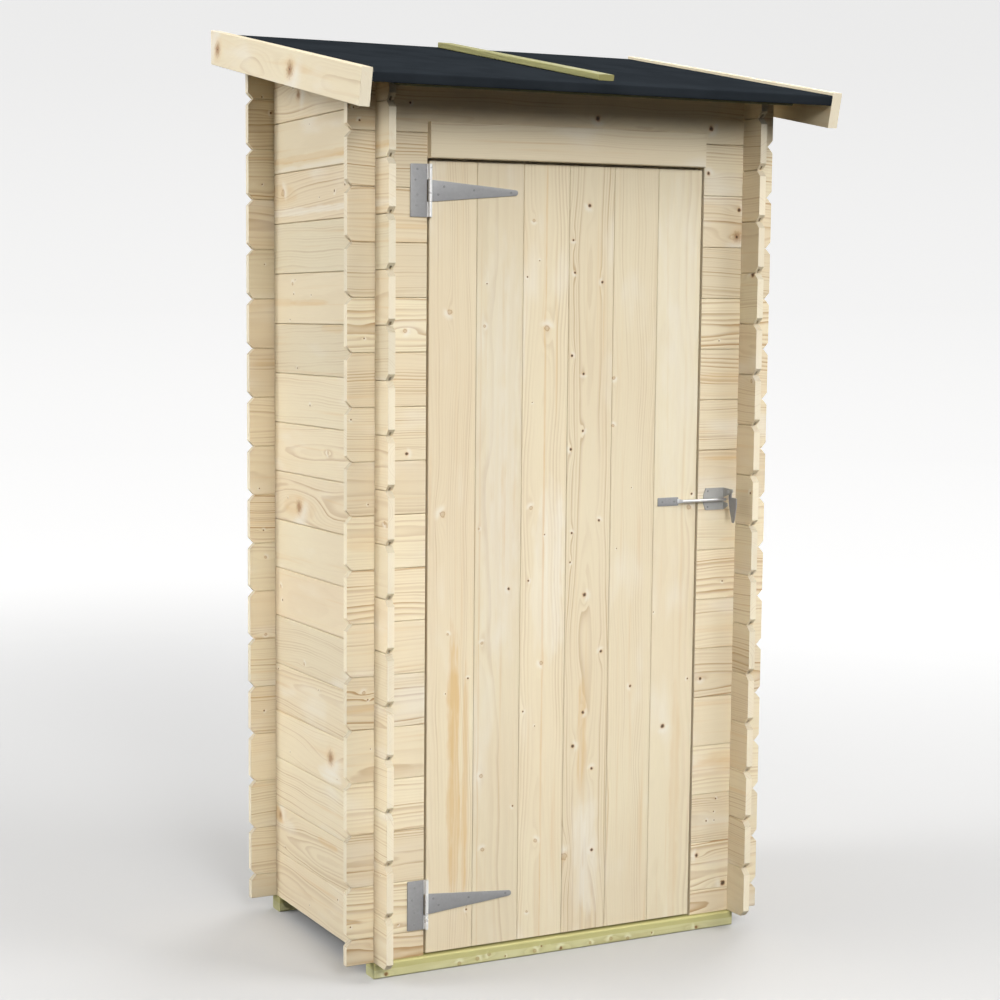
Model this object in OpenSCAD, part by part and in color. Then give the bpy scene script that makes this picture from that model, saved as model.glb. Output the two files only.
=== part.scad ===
// Pent garden shed: interlocking board walls, a ledged and braced door on T-hinges, an
// automatic gate latch, and a felted lean-to roof that rises towards the back.
// Millimetres. X runs along the front, Y from the front to the back, Z up.

/* [Walls] */
// Width over the outer faces of the side walls
body_w = 934; // [860:1:1200]
// Depth over the outer faces of the front and back walls
body_d = 558; // [460:1:900]
// Thickness of the wall boards
wall_t = 16; // [14:0.5:20]
// Height that one wall board covers
course_h = 114; // [104:1:124]
// Number of whole boards in the front wall, which starts with a half board
front_courses = 16; // [15:1:18]
// How far the boards run on past the corner crossings
board_end = 64; // [50:1:80]
// Depth of the chamfer at a board's end
chamfer_in = 13; // [6:1:18]
// Height of the chamfer at a board's end
chamfer_up = 14; // [8:1:20]
// Clearance in the corner laps, under the roof and under the batten on it
lap_gap = 0.3; // [0.1:0.1:0.6]

/* [Base] */
// Height of the bearers
bearer_h = 34; // [28:1:50]
// Depth of the bearers
bearer_d = 42; // [30:1:60]
// How far the front bearer stands out of the front wall
bearer_proud = 8.5; // [0:0.5:12]
// How far the bearers run past the left wall's outer face
bearer_past = 2; // [0:0.5:10]
// How far the bearers end short of the right wall's outer face
bearer_short = 7; // [0:0.5:12]
// How far the middle bearer is set in from the side walls' outer faces
middle_bearer_in = 70; // [20:1:150]
// Thickness of the floor boards
floor_t = 16; // [14:1:22]
// Gap around the floor
floor_gap = 3; // [1:0.5:6]

/* [Doorway] */
// Distance from each side wall's outer face to the doorway
panel_w = 120; // [112:1:140]
// Height of the head that closes the top of the doorway
head_h = 52; // [44:1:80]
// Running gap around and behind the door
door_gap = 5.5; // [5:0.5:8]
// Depth of the door posts behind the wall boards
post_d = 28; // [22:1:40]
// Width of a door post beside the doorway
post_w = 30; // [24:1:40]
// How far the posts and the head lap behind the door
stop_lap = 14; // [10:1:18]
// How far the door posts end below the top of the front wall
post_drop = 8; // [4:1:20]
// Thickness of the board that covers the head
cover_t = 16; // [12:1:20]
// How far the cover board starts inside the doorway's left edge
cover_start = 1; // [0:1:6]
// How far the cover board ends inside the doorway's right edge
cover_stop = 7; // [0:1:10]
// How far the cover board laps over the wall above
cover_lap = 23; // [15:1:40]

/* [Door] */
// Thickness of the door boards
door_t = 16; // [14:0.5:19]
// Width of the ledges
ledge_w = 90; // [70:1:100]
// Thickness of the ledges and braces
ledge_t = 20; // [16:1:24]
// Width of the braces along the ledges
brace_w = 90; // [60:1:110]
// Distance from the door's bottom to the lower hinge
lower_hinge_up = 109.5; // [80:0.5:160]
// Distance from the door's top to the upper hinge
upper_hinge_down = 61.5; // [58:0.5:120]

/* [Hinges] */
// Thickness of the hinge plates
hinge_t = 2.5; // [2:0.5:3]
// Height of the hinge leaf and barrel
leaf_h = 110; // [90:1:115]
// Width of the leaf on the wall
leaf_w = 39; // [30:1:50]
// Outer radius of the hinge barrel
barrel_r = 4.2; // [4:0.1:5]
// Radius of the hinge pin
hinge_pin_r = 2; // [1.5:0.1:2.5]
// Distance from the door's face to the pin's axis
barrel_out = 5; // [5:0.1:6]
// Length of the strap from the barrel
strap_len = 206; // [150:1:300]
// Height of the strap at the barrel
strap_root = 45; // [36:1:54]
// Height of the strap at its tip
strap_tip = 12; // [8:1:16]
// Radial clearance of the pins in their bores
pin_gap = 0.05; // [0.02:0.01:0.1]
// Gap between neighbouring knuckles
knuckle_gap = 0.5; // [0.3:0.1:1]

/* [Latch] */
// Height of the striker rod above the door's bottom
latch_up = 964.5; // [700:0.5:1200]
// Thickness of the latch plates
latch_t = 2.5; // [2:0.5:3]
// Distance from the doorway's right edge to the latch plate
latch_in = 14; // [8:1:20]
// Width of the latch plate
latch_w = 53; // [40:1:56]
// Height of the latch plate
latch_h = 50; // [44:1:60]
// How far the latch cheek stands out of the wall
latch_out = 38; // [32:1:44]
// Length of the striker plate
striker_w = 54; // [40:1:60]
// Height of the striker plate
striker_h = 19; // [14:1:24]
// Radius of the striker rod
rod_r = 3.75; // [3:0.25:4]
// Distance from the door's face to the striker rod's axis
rod_out = 9; // [8:0.5:11]
// Distance from the door's free edge to the striker plate's far edge
striker_in = 103; // [90:0.5:120]
// Radius of the pawl's pin
pawl_pin_r = 2.5; // [2:0.1:3]
// Length of the pawl below its pin
pawl_len = 71; // [60:1:90]
// Gap between the pawl and the striker rod's end
pawl_gap = 1.2; // [1:0.1:2]

/* [Roof] */
// Overhang of the roof in front of the front wall
roof_front = 177; // [150:1:220]
// Overhang of the roof behind the back wall
roof_back = 88; // [75:1:120]
// Overhang of the roof boards beside the side walls
roof_side = 90; // [75:1:130]
// Thickness of the roof boards
deck_t = 18; // [14:1:22]
// Thickness of the roofing felt
felt_t = 3; // [2:0.5:4]
// Thickness of the barge boards
barge_t = 24; // [16:1:28]
// Depth of the barge boards, square to the slope
barge_h = 76; // [60:1:100]
// How far the barge boards stand above the felt
barge_rise = 6; // [2:1:12]
// Width of the batten on the felt
batten_w = 38; // [30:1:60]
// Height of the batten on the felt
batten_h = 13; // [10:1:22]
// Distance of that batten's centre from the left wall's outer face
batten_x = 481; // [300:1:600]
// Distance from the roof's front edge to the batten's front end
batten_start = 62; // [20:1:150]
// Distance from the roof's back edge to that batten's back end
batten_stop = 30; // [0:1:150]
// Width of the eaves batten under the front overhang
eaves_w = 28; // [20:1:40]
// Thickness of the eaves batten
eaves_t = 8; // [6:1:16]
// Distance from the roof's front edge to the eaves batten
eaves_in = 34; // [20:1:60]
// How far the eaves batten runs past the side walls' outer faces
eaves_past = 12.5; // [0:0.5:40]

/* [Hidden] */
$fn = 48;

// Overlap that lets a cut run clean through a face
cut = 1;
pine = "#e6d3a8";
pressure_treated = "#a9a866";
galvanised = "#9a9c9e";

// Walls: the boards of the front and back walls cross half a board higher than those of the sides
back_courses = front_courses + 1;
front_h = (front_courses + 0.5) * course_h;
back_h = (back_courses + 0.5) * course_h;
doorway_h = front_h - course_h;
doorway_x = panel_w;
doorway_r = body_w - panel_w;
lap_h = course_h / 4;

// Roof: its underside rises one course from the front wall's face to the back wall's
slope = (back_h - front_h) / (body_d - wall_t);
pitch = atan(slope);
felt_top = deck_t + felt_t;
barge_top = felt_top + barge_rise;
barge_bottom = barge_top - barge_h;
roof_y0 = -roof_front;
roof_y1 = body_d + roof_back;
roof_s0 = (roof_y0 + barge_top * sin(pitch)) / cos(pitch);
roof_x0 = -roof_side;
roof_x1 = body_w + roof_side;

// Door
boards = 6;
door_x0 = doorway_x + door_gap;
door_x1 = doorway_r - door_gap;
board_w = (door_x1 - door_x0) / boards;
door_z0 = door_gap;
head_z = doorway_h - head_h;
door_z1 = head_z - door_gap;
stop_y = door_t + door_gap;
post_y = wall_t + post_d;
post_z1 = front_h - post_drop;
upper_z = door_z1 - upper_hinge_down;
lower_z = door_z0 + lower_hinge_up;
middle_z = (upper_z + lower_z) / 2;
ledge_x0 = doorway_x + stop_lap + door_gap;
ledge_x1 = doorway_r - stop_lap - door_gap;

// Hinges
hinge_x = door_x0 - 0.5;
hinge_y = -barrel_out;
leaf_edge = hinge_x - barrel_r - 1.8;
strap_x0 = hinge_x + barrel_r + 1.8;

// Latch: the rod ends inside the cheek's mouth, just short of the pawl
rod_z = door_z0 + latch_up;
plate_x0 = doorway_r + latch_in;
plate_x1 = plate_x0 + latch_w;
plate_z0 = rod_z + 2 - latch_h / 2;
plate_z1 = plate_z0 + latch_h;
cheek_x1 = plate_x1 + latch_t;
rod_x1 = cheek_x1 + 0.5;
pawl_x0 = rod_x1 + pawl_gap;
pawl_x1 = pawl_x0 + latch_t;
pawl_y = -0.6 * latch_out;
pawl_z = plate_z1 - 3.2 * pawl_pin_r;
striker_x0 = door_x1 - striker_in;

// A point of the roof section, s along the slope from the front wall's face and n square to it
function roof_point(s, n) =
  [s * cos(pitch) - n * sin(pitch), front_h + s * sin(pitch) + n * cos(pitch)];

// The height s along the slope at which a line at n reaches the upright plane y
function roof_s(y, n) = (y + n * sin(pitch)) / cos(pitch);

// A slab of the roof section from s0, cut square, back to the plumb plane y1
function roof_slab(s0, y1, n0, n1) = [
  roof_point(s0, n0), roof_point(roof_s(y1, n0), n0),
  roof_point(roof_s(y1, n1), n1), roof_point(s0, n1)
];

// The height of the roof's underside above the bearers at y
function underside(y) = front_h + slope * y;

// Chamfered board ends up an edge at u, cut towards dir, at each joint height in zs
function chamfers(u, dir, zs) = [
  for (z = zs) each [[u, z - chamfer_up], [u + dir * chamfer_in, z], [u, z + chamfer_up]]
];

function reversed(list) = [for (i = [len(list) - 1 : -1 : 0]) list[i]];

// Moves the shed so that the origin lies under the middle of the roof, on the ground
module place() {
  translate([-body_w / 2, -(roof_y0 + roof_y1) / 2, bearer_h]) children();
}

// Extrudes an outline drawn in Y and Z from x0 to x1
module along_x(x0, x1) {
  translate([x0, 0, 0]) rotate([90, 0, 90]) linear_extrude(x1 - x0) children();
}

// Extrudes an outline drawn in X and Z from y0 to y1
module along_y(y0, y1) {
  translate([0, y1, 0]) rotate([90, 0, 0]) linear_extrude(y1 - y0) children();
}

module block(low, high) {
  translate(low) cube(high - low);
}

// The half-lap slots of one corner column between u0 and u1, centred first on z0
module lap_slots(u0, u1, z0, count) {
  for (k = [0 : count - 1])
    translate([u0 - lap_gap, z0 + k * course_h - lap_h - lap_gap])
      square([u1 - u0 + 2 * lap_gap, 2 * (lap_h + lap_gap)]);
}

// The lower and middle part of a stretch of front wall between x0 and x1
module front_stretch(x0, x1, left_end) {
  outer = left_end ? x0 : x1;
  inner = left_end ? x1 : x0;
  dir = left_end ? 1 : -1;
  joints = [for (k = [0 : front_courses - 2]) (k + 0.5) * course_h];
  column = left_end ? 0 : body_w - wall_t;
  along_y(0, wall_t) difference() {
    polygon(concat(
      [[outer, 0]],
      chamfers(outer, dir, joints),
      [[outer, doorway_h - chamfer_up], [outer + dir * chamfer_in, doorway_h]],
      [[inner, doorway_h], [inner, 0]]
    ));
    lap_slots(column, column + wall_t, course_h / 2, front_courses);
  }
}

module front_wall_left() {
  color(pine) place() front_stretch(-board_end, doorway_x, true);
}

module front_wall_right() {
  color(pine) place() front_stretch(doorway_r, body_w + board_end, false);
}

module front_wall_top() {
  low = doorway_h;
  high = front_h - lap_gap;
  x0 = -board_end;
  x1 = body_w + board_end;
  color(pine) place() along_y(0, wall_t) difference() {
    polygon([
      [x0, low + chamfer_up], [x0 + chamfer_in, low], [x1 - chamfer_in, low],
      [x1, low + chamfer_up], [x1, high - chamfer_up], [x1 - chamfer_in, high],
      [x0 + chamfer_in, high], [x0, high - chamfer_up]
    ]);
    for (column = [0, body_w - wall_t])
      lap_slots(column, column + wall_t, course_h / 2, front_courses + 1);
  }
}

module back_wall() {
  joints = [for (k = [0 : back_courses - 1]) (k + 0.5) * course_h];
  high = back_h - lap_gap;
  x0 = -board_end;
  x1 = body_w + board_end;
  color(pine) place() along_y(body_d - wall_t, body_d) difference() {
    polygon(concat(
      [[x1, 0]],
      chamfers(x1, -1, joints),
      [[x1, high - chamfer_up], [x1 - chamfer_in, high]],
      [[x0 + chamfer_in, high], [x0, high - chamfer_up]],
      reversed(chamfers(x0, 1, joints)),
      [[x0, 0]]
    ));
    for (column = [0, body_w - wall_t])
      lap_slots(column, column + wall_t, course_h / 2, back_courses + 1);
  }
}

// A side wall with its inner or outer face at x0, its top cut to the roof's slope
module side_wall(x0) {
  y0 = -board_end;
  y1 = body_d + board_end;
  z_front = underside(y0) - lap_gap;
  z_back = underside(y1) - lap_gap;
  front_joints = [for (k = [1 : back_courses]) if (k * course_h + chamfer_up < z_front) k * course_h];
  back_joints = [for (k = [1 : back_courses]) if (k * course_h + chamfer_up < z_back) k * course_h];
  color(pine) place() along_x(x0, x0 + wall_t) difference() {
    polygon(concat(
      [[y0 + chamfer_in, 0], [y1 - chamfer_in, 0], [y1, chamfer_up]],
      chamfers(y1, -1, back_joints),
      [[y1, z_back], [y0, z_front]],
      reversed(chamfers(y0, 1, front_joints)),
      [[y0, chamfer_up]]
    ));
    lap_slots(0, wall_t, 0, front_courses + 1);
    lap_slots(body_d - wall_t, body_d, 0, back_courses + 1);
  }
}

module left_wall() {
  side_wall(0);
}

module right_wall() {
  side_wall(body_w - wall_t);
}

// A bearer from x0 to x1 with its front face at y0
module bearer(x0, x1, y0) {
  color(pressure_treated) place()
    block([x0, y0, -bearer_h], [x1, y0 + bearer_d, 0]);
}

module front_bearer() {
  bearer(-bearer_past, body_w - bearer_short, -bearer_proud);
}

module middle_bearer() {
  bearer(middle_bearer_in, body_w - middle_bearer_in, (body_d - bearer_d) / 2);
}

module back_bearer() {
  bearer(-bearer_past, body_w - bearer_short, body_d - bearer_d);
}

module floor() {
  color(pine) place() block(
    [wall_t + floor_gap, stop_y, 0],
    [body_w - wall_t - floor_gap, body_d - wall_t - floor_gap, floor_t]
  );
}

// A rebated door post at a doorway edge: its lip laps behind the door, towards dir
module door_post(edge, dir) {
  color(pine) place() translate([edge, 0, floor_t]) linear_extrude(post_z1 - floor_t) polygon([
    [-dir * post_w, wall_t], [0, wall_t], [0, stop_y], [dir * stop_lap, stop_y],
    [dir * stop_lap, post_y], [-dir * post_w, post_y]
  ]);
}

module door_post_left() {
  door_post(doorway_x, 1);
}

module door_post_right() {
  door_post(doorway_r, -1);
}

// The head fills the doorway above the door and laps behind it
module door_head() {
  color(pine) place() {
    block([doorway_x + lap_gap, 0, head_z], [doorway_r - lap_gap, stop_y, doorway_h]);
    block(
      [doorway_x + stop_lap + lap_gap, stop_y - cut, head_z],
      [doorway_r - stop_lap - lap_gap, post_y, doorway_h]
    );
    block(
      [doorway_x + stop_lap + lap_gap, stop_y, head_z - stop_lap],
      [doorway_r - stop_lap - lap_gap, post_y, head_z + cut]
    );
  }
}

module door_head_cover() {
  color(pine) place() block(
    [doorway_x + cover_start, -cover_t, head_z],
    [doorway_r - cover_stop, 0, doorway_h + cover_lap]
  );
}

module roof_deck() {
  color(pine) place() along_x(roof_x0, roof_x1)
    polygon(roof_slab(roof_s0 + felt_t, roof_y1 - felt_t, 0, deck_t));
}

// The felt lies on the boards and folds down over their front and back edges
module roof_felt() {
  color("#2b2f36") place() along_x(roof_x0, roof_x1) difference() {
    polygon(roof_slab(roof_s0, roof_y1, 0, felt_top));
    polygon(roof_slab(roof_s0 + felt_t, roof_y1 - felt_t, -cut, deck_t));
  }
}

module barge_board(x0) {
  color(pine) place() along_x(x0, x0 + barge_t)
    polygon(roof_slab(roof_s0, roof_y1, barge_bottom, barge_top));
}

module left_barge_board() {
  barge_board(roof_x0 - barge_t);
}

module right_barge_board() {
  barge_board(roof_x1);
}

module roof_batten() {
  color(pressure_treated) place() along_x(batten_x - batten_w / 2, batten_x + batten_w / 2)
    polygon(roof_slab(roof_s0 + batten_start, roof_y1 - batten_stop, felt_top + lap_gap, felt_top + batten_h));
}

module front_eaves_batten() {
  s0 = roof_s0 + eaves_in;
  color(pressure_treated) place() along_x(-eaves_past, body_w + eaves_past) polygon([
    roof_point(s0, -eaves_t), roof_point(s0 + eaves_w, -eaves_t),
    roof_point(s0 + eaves_w, 0), roof_point(s0, 0)
  ]);
}

// The solid barrel of one knuckle, before it is bored for the pin
module knuckle(z0, z1) {
  translate([hinge_x, hinge_y, z0]) cylinder(r = barrel_r, h = z1 - z0);
}

// The pin's bore through the knuckles between z0 and z1
module hinge_bore(z0, z1) {
  translate([hinge_x, hinge_y, z0 - cut])
    cylinder(r = hinge_pin_r + pin_gap, h = z1 - z0 + 2 * cut);
}

// The leaf screwed to the wall, with a knuckle above and below the strap's
module hinge_leaf(z) {
  half = leaf_h / 2;
  inner = strap_root / 2 + knuckle_gap;
  color(galvanised) place() difference() {
    union() {
      block([leaf_edge - leaf_w, -hinge_t, z - half], [leaf_edge, 0, z + half]);
      for (span = [[z - half, z - inner], [z + inner, z + half]]) {
        block([leaf_edge - cut, -hinge_t, span[0]], [hinge_x - 1, 0, span[1]]);
        knuckle(span[0], span[1]);
      }
    }
    hinge_bore(z - half, z + half);
  }
}

module upper_hinge_leaf() {
  hinge_leaf(upper_z);
}

module lower_hinge_leaf() {
  hinge_leaf(lower_z);
}

module hinge_pin(z) {
  color("#d8d8d8") place() translate([hinge_x, hinge_y, z - leaf_h / 2])
    cylinder(r = hinge_pin_r, h = leaf_h);
}

module upper_hinge_pin() {
  hinge_pin(upper_z);
}

module lower_hinge_pin() {
  hinge_pin(lower_z);
}

// The tapering strap on the door with its own knuckle
module hinge_strap(z) {
  half = strap_root / 2;
  tip_x = strap_x0 + strap_len - strap_tip / 2;
  color(galvanised) place() difference() {
    union() {
      along_y(-hinge_t, 0) translate([0, z]) {
        polygon([
          [hinge_x + 1, -half], [strap_x0, -half], [tip_x, -strap_tip / 2],
          [tip_x, strap_tip / 2], [strap_x0, half], [hinge_x + 1, half]
        ]);
        translate([tip_x, 0]) circle(r = strap_tip / 2);
      }
      knuckle(z - half, z + half);
    }
    hinge_bore(z - half, z + half);
  }
}

module upper_hinge_strap() {
  hinge_strap(upper_z);
}

module lower_hinge_strap() {
  hinge_strap(lower_z);
}

// The wall plate, and the cheek folded out of it, with a mouth for the rod between two lobes
module latch_body() {
  mouth = rod_r + 2;
  lip_y = -latch_out;
  color(galvanised) place() {
    along_y(-latch_t, 0) polygon([
      [plate_x0 + 6, plate_z0], [cheek_x1, plate_z0], [cheek_x1, plate_z1],
      [plate_x0 + 6, plate_z1], [plate_x0, plate_z1 - 15], [plate_x0, plate_z0 + 15]
    ]);
    difference() {
      along_x(plate_x1, cheek_x1) {
        polygon([
          [0, plate_z1], [0, rod_z + mouth], [-rod_out + rod_r, rod_z + mouth],
          [lip_y + 3, plate_z1 - 10], [lip_y, plate_z1 - 7], [lip_y + 1, plate_z1 - 2]
        ]);
        polygon([
          [0, rod_z - mouth], [0, plate_z0], [-0.2 * latch_out, plate_z0 + 2],
          [-0.5 * latch_out, plate_z0 + 10], [-0.46 * latch_out, rod_z - mouth - 2]
        ]);
      }
      across_x(plate_x1 - cut, cheek_x1 + cut, pawl_pin_r + pin_gap);
    }
  }
}

// A cylinder about the pawl's axis
module across_x(x0, x1, r) {
  translate([x0, pawl_y, pawl_z]) rotate([0, 90, 0]) cylinder(r = r, h = x1 - x0);
}

// The pin on which the pawl swings, with a head at each end
module latch_pin() {
  head_r = pawl_pin_r + 1.5;
  head_t = 1.2;
  seat = 0.15;
  color("#d8d8d8") place() {
    across_x(plate_x1 - seat - head_t, pawl_x1 + seat + head_t, pawl_pin_r);
    across_x(plate_x1 - seat - head_t, plate_x1 - seat, head_r);
    across_x(pawl_x1 + seat, pawl_x1 + seat + head_t, head_r);
  }
}

// The pawl: an eye on the pin, a broad shoulder and a tail that hangs down
module latch_pawl() {
  eye_r = pawl_pin_r + 3;
  low = pawl_z - pawl_len;
  color(galvanised) place() difference() {
    union() {
      across_x(pawl_x0, pawl_x1, eye_r);
      along_x(pawl_x0, pawl_x1) polygon([
        [pawl_y + pawl_pin_r + 2, pawl_z], [pawl_y + pawl_pin_r + 2, pawl_z - 15],
        [pawl_y + 3, pawl_z - 33], [pawl_y - 9, low + 1], [pawl_y - 14, low],
        [pawl_y - 18, low + 8], [pawl_y - 24, pawl_z - 33], [pawl_y - 24, pawl_z - 16],
        [pawl_y - 22, pawl_z - 14], [pawl_y - pawl_pin_r - 2, pawl_z - 13],
        [pawl_y - pawl_pin_r - 2, pawl_z]
      ]);
    }
    across_x(pawl_x0 - cut, pawl_x1 + cut, pawl_pin_r + pin_gap);
  }
}

// The striker: a plate on the door and a round rod that reaches across the gap
module latch_striker() {
  neck = striker_x0 + striker_w;
  color(galvanised) place() {
    block(
      [striker_x0, -latch_t, rod_z - striker_h / 2],
      [neck, 0, rod_z + striker_h / 2]
    );
    hull() {
      block([neck - 1, -latch_t, rod_z - rod_r], [neck, 0, rod_z + rod_r]);
      translate([neck + 8, -rod_out, rod_z]) rotate([0, 90, 0]) cylinder(r = rod_r, h = 1, $fn = 32);
    }
    translate([neck + 8, -rod_out, rod_z]) rotate([0, 90, 0])
      cylinder(r = rod_r, h = rod_x1 - neck - 8);
  }
}

// One of the upright door boards, counted from the hinges
module door_board(i) {
  color(pine) place() block(
    [door_x0 + (i - 1) * board_w, 0, door_z0],
    [door_x0 + i * board_w, door_t, door_z1]
  );
}

// A ledge across the back of the door, centred on z
module ledge(z) {
  color(pine) place() block(
    [ledge_x0, door_t, z - ledge_w / 2],
    [ledge_x1, door_t + ledge_t, z + ledge_w / 2]
  );
}

module top_ledge() {
  ledge(upper_z);
}

module middle_ledge() {
  ledge(middle_z);
}

module bottom_ledge() {
  ledge(lower_z);
}

// A brace that rises from the hinge side between the ledges centred on z0 and z1
module brace(z0, z1) {
  low = z0 + ledge_w / 2;
  high = z1 - ledge_w / 2;
  color(pine) place() along_y(door_t, door_t + ledge_t) polygon([
    [ledge_x0, low], [ledge_x0 + brace_w, low], [ledge_x1, high], [ledge_x1 - brace_w, high]
  ]);
}

module upper_brace() {
  brace(middle_z, upper_z);
}

module lower_brace() {
  brace(lower_z, middle_z);
}

front_bearer();
middle_bearer();
back_bearer();
floor();
front_wall_left();
front_wall_right();
front_wall_top();
left_wall();
right_wall();
back_wall();
door_post_left();
door_post_right();
door_head();
door_head_cover();
roof_deck();
roof_felt();
left_barge_board();
right_barge_board();
roof_batten();
front_eaves_batten();
upper_hinge_leaf();
lower_hinge_leaf();
upper_hinge_pin();
lower_hinge_pin();
latch_body();
latch_pin();
latch_pawl();
door_board(1);  // door_board_1
door_board(2);  // door_board_2
door_board(3);  // door_board_3
door_board(4);  // door_board_4
door_board(5);  // door_board_5
door_board(6);  // door_board_6
top_ledge();
middle_ledge();
bottom_ledge();
upper_brace();
lower_brace();
upper_hinge_strap();
lower_hinge_strap();
latch_striker();
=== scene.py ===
import math
import random

import bmesh
import bpy
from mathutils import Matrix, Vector


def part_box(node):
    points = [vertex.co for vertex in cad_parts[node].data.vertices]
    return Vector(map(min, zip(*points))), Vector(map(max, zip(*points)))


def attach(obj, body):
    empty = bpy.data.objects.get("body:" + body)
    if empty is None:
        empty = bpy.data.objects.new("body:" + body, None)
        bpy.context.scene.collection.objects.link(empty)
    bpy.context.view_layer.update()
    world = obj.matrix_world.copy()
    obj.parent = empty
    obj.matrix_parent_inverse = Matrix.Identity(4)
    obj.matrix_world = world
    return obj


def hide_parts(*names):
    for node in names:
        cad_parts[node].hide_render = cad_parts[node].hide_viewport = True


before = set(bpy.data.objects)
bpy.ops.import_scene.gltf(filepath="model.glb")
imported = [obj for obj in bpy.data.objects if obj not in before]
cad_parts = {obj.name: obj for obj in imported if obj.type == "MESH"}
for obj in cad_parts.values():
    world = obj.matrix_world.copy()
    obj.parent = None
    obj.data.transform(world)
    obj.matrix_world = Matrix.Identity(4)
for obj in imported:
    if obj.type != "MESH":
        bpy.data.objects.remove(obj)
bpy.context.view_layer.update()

scene = bpy.context.scene

# ---------------- sizes
# Boards are made in millimetres in the shed's own axes: x along the front from the left
# wall's outer face, y back from the front wall's outer face, z up from the bearers' tops.
MM = 0.001
ORIGIN = Vector((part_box("left_wall")[0].x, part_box("front_wall_left")[0].y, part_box("front_bearer")[1].z))
X, Y, Z = Vector((1, 0, 0)), Vector((0, 1, 0)), Vector((0, 0, 1))
NOWHERE = Vector((0, 0, 0))


def extent(node):
    """Lowest and highest corner of a CAD node in the shed's own axes, in millimetres."""
    low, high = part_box(node)
    return (low - ORIGIN) / MM, (high - ORIGIN) / MM


COURSE = 114.0  # the height that one wall board covers
WALL = 16.0
LAP_GAP = 0.3  # play between boards that cross
EAR = -extent("front_wall_left")[0].x  # how far the boards run on past a corner
BODY_W = extent("right_wall")[1].x
BODY_D = extent("back_wall")[1].y
DOORWAY_L = extent("front_wall_left")[1].x
DOORWAY_R = extent("front_wall_right")[0].x
FRONT_COURSES = 16
FRONT_H = (FRONT_COURSES + 0.5) * COURSE
BACK_H = FRONT_H + COURSE
CHAMFER_IN, CHAMFER_UP = 13.0, 14.0  # at the ends of the wall boards
TONGUE, GROOVE = 6.5, 7.5

# The roof's own axes: s up the slope and n off it, from the front wall's top edge.
RISE = COURSE / (BODY_D - WALL)
PITCH = math.atan(RISE)
SIN, COS = math.sin(PITCH), math.cos(PITCH)
UP_SLOPE = Vector((0, COS, SIN))
OFF_SLOPE = Vector((0, -SIN, COS))
ROOF_FOOT = Vector((0, 0, FRONT_H))
DECK, FELT = 18.0, 3.0
# The felt turned under the eaves is a dark sheet that also stands in for the shade under the overhang:
# painted shade.
FELT_TAIL, FELT_UNDER = -69.0, 0.9  # where the felt turned under the eaves ends, and its thickness
BARGE_TOP, BARGE_H = 27.0, 76.0
ROOF_Y0, ROOF_Y1 = -177.0, BODY_D + 88.0
ROOF_S0, ROOF_S1 = (ROOF_Y0 + BARGE_TOP * SIN) / COS, ROOF_Y1 / COS
ROOF_X0, ROOF_X1 = extent("roof_felt")[0].x, extent("roof_felt")[1].x
PAST_END = 30.0  # what a bar is made too long by, before its end is cut upright


# ---------------- timber
KNOTS = ("knot_a", "knot_b", "knot_c", "knot_d")
MARKS = ("stripe_a", "run_a", "stripe_b", "run_b")
PIN_SIZES = (1.2, 1.5, 2.0, 2.6, -3.5)


class Wood:
    """How one board was cut from its tree, and the knots in it."""

    def __init__(self, rng, v, w, knots=(), cut=None, light=None, warm=None, contrast=None,
                 pins=0.6, span=None, stripes=()):
        self.shift = rng.uniform(500, 30000)
        self.stripes = list(stripes)
        cut = cut or rng.choice(("flat", "flat", "rift", "rift", "plain"))
        side = rng.choice((-1, 1))
        ring = rng.uniform(4.0, 6.5)
        if cut == "flat":
            self.pith = (v + rng.uniform(-24, 24), w + side * rng.uniform(24, 50), ring)
        elif cut == "rift":
            beside = v + side * rng.uniform(75, 120)
            self.pith = (beside, w + rng.choice((-1, 1)) * rng.uniform(35, 80), ring)
        else:
            self.pith = (v + rng.uniform(-60, 60), w + side * rng.uniform(110, 190), ring * 1.3)
        base = {"flat": 0.95, "rift": 1.0, "plain": 0.45}[cut]
        drawn = (rng.gauss(0, 0.03), rng.uniform(0, 1), base * rng.uniform(0.6, 1.3))
        given = (light, warm, contrast)
        self.tint = tuple(d if g is None else g for g, d in zip(given, drawn))
        self.knots = list(knots)
        if span:
            low_u, high_u, low_v, high_v = span
            tries, margin = 3, 12
            count = int(tries * (high_u - low_u) / 400) + tries
            for _ in range(sum(rng.random() < pins / tries for _ in range(count))):
                radius = rng.choice(PIN_SIZES)
                along = rng.uniform(low_u + margin, high_u - margin)
                self.knots.append((along, rng.uniform(low_v + margin, high_v - margin), radius))
        self.knots.sort()

    def bands(self, u0, u1):
        """Where the board is divided so that each stretch holds its own nearest knots."""
        if len(self.knots) <= len(KNOTS):
            return []
        middles = [(a[0] + b[0]) / 2 for a, b in zip(self.knots, self.knots[1:])]
        return [m for m in middles if u0 + 2 < m < u1 - 2]

    def near(self, u):
        """The nearest knots to u, as the material reads them."""
        found = sorted(self.knots, key=lambda k: abs(k[0] - u))[: len(KNOTS)]
        rows = [((k[0] + self.shift) * MM, k[1] * MM, k[2] * MM) for k in found]
        return rows + [(0.0, 0.0, 0.0)] * (len(KNOTS) - len(rows))

    def stripe(self, index):
        """A coloured streak: its middle and half width across, its strength, then its middle and
        half length along and its colour, from 0 for amber to 1 for white."""
        if index >= len(self.stripes):
            return (0.0, 1.0, 0.0), (0.0, 1.0, 0.0)
        u_mid, u_half, v_mid, v_half, strength, white = self.stripes[index]
        return (v_mid * MM, v_half * MM, strength), ((u_mid + self.shift) * MM, u_half * MM, white)


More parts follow.
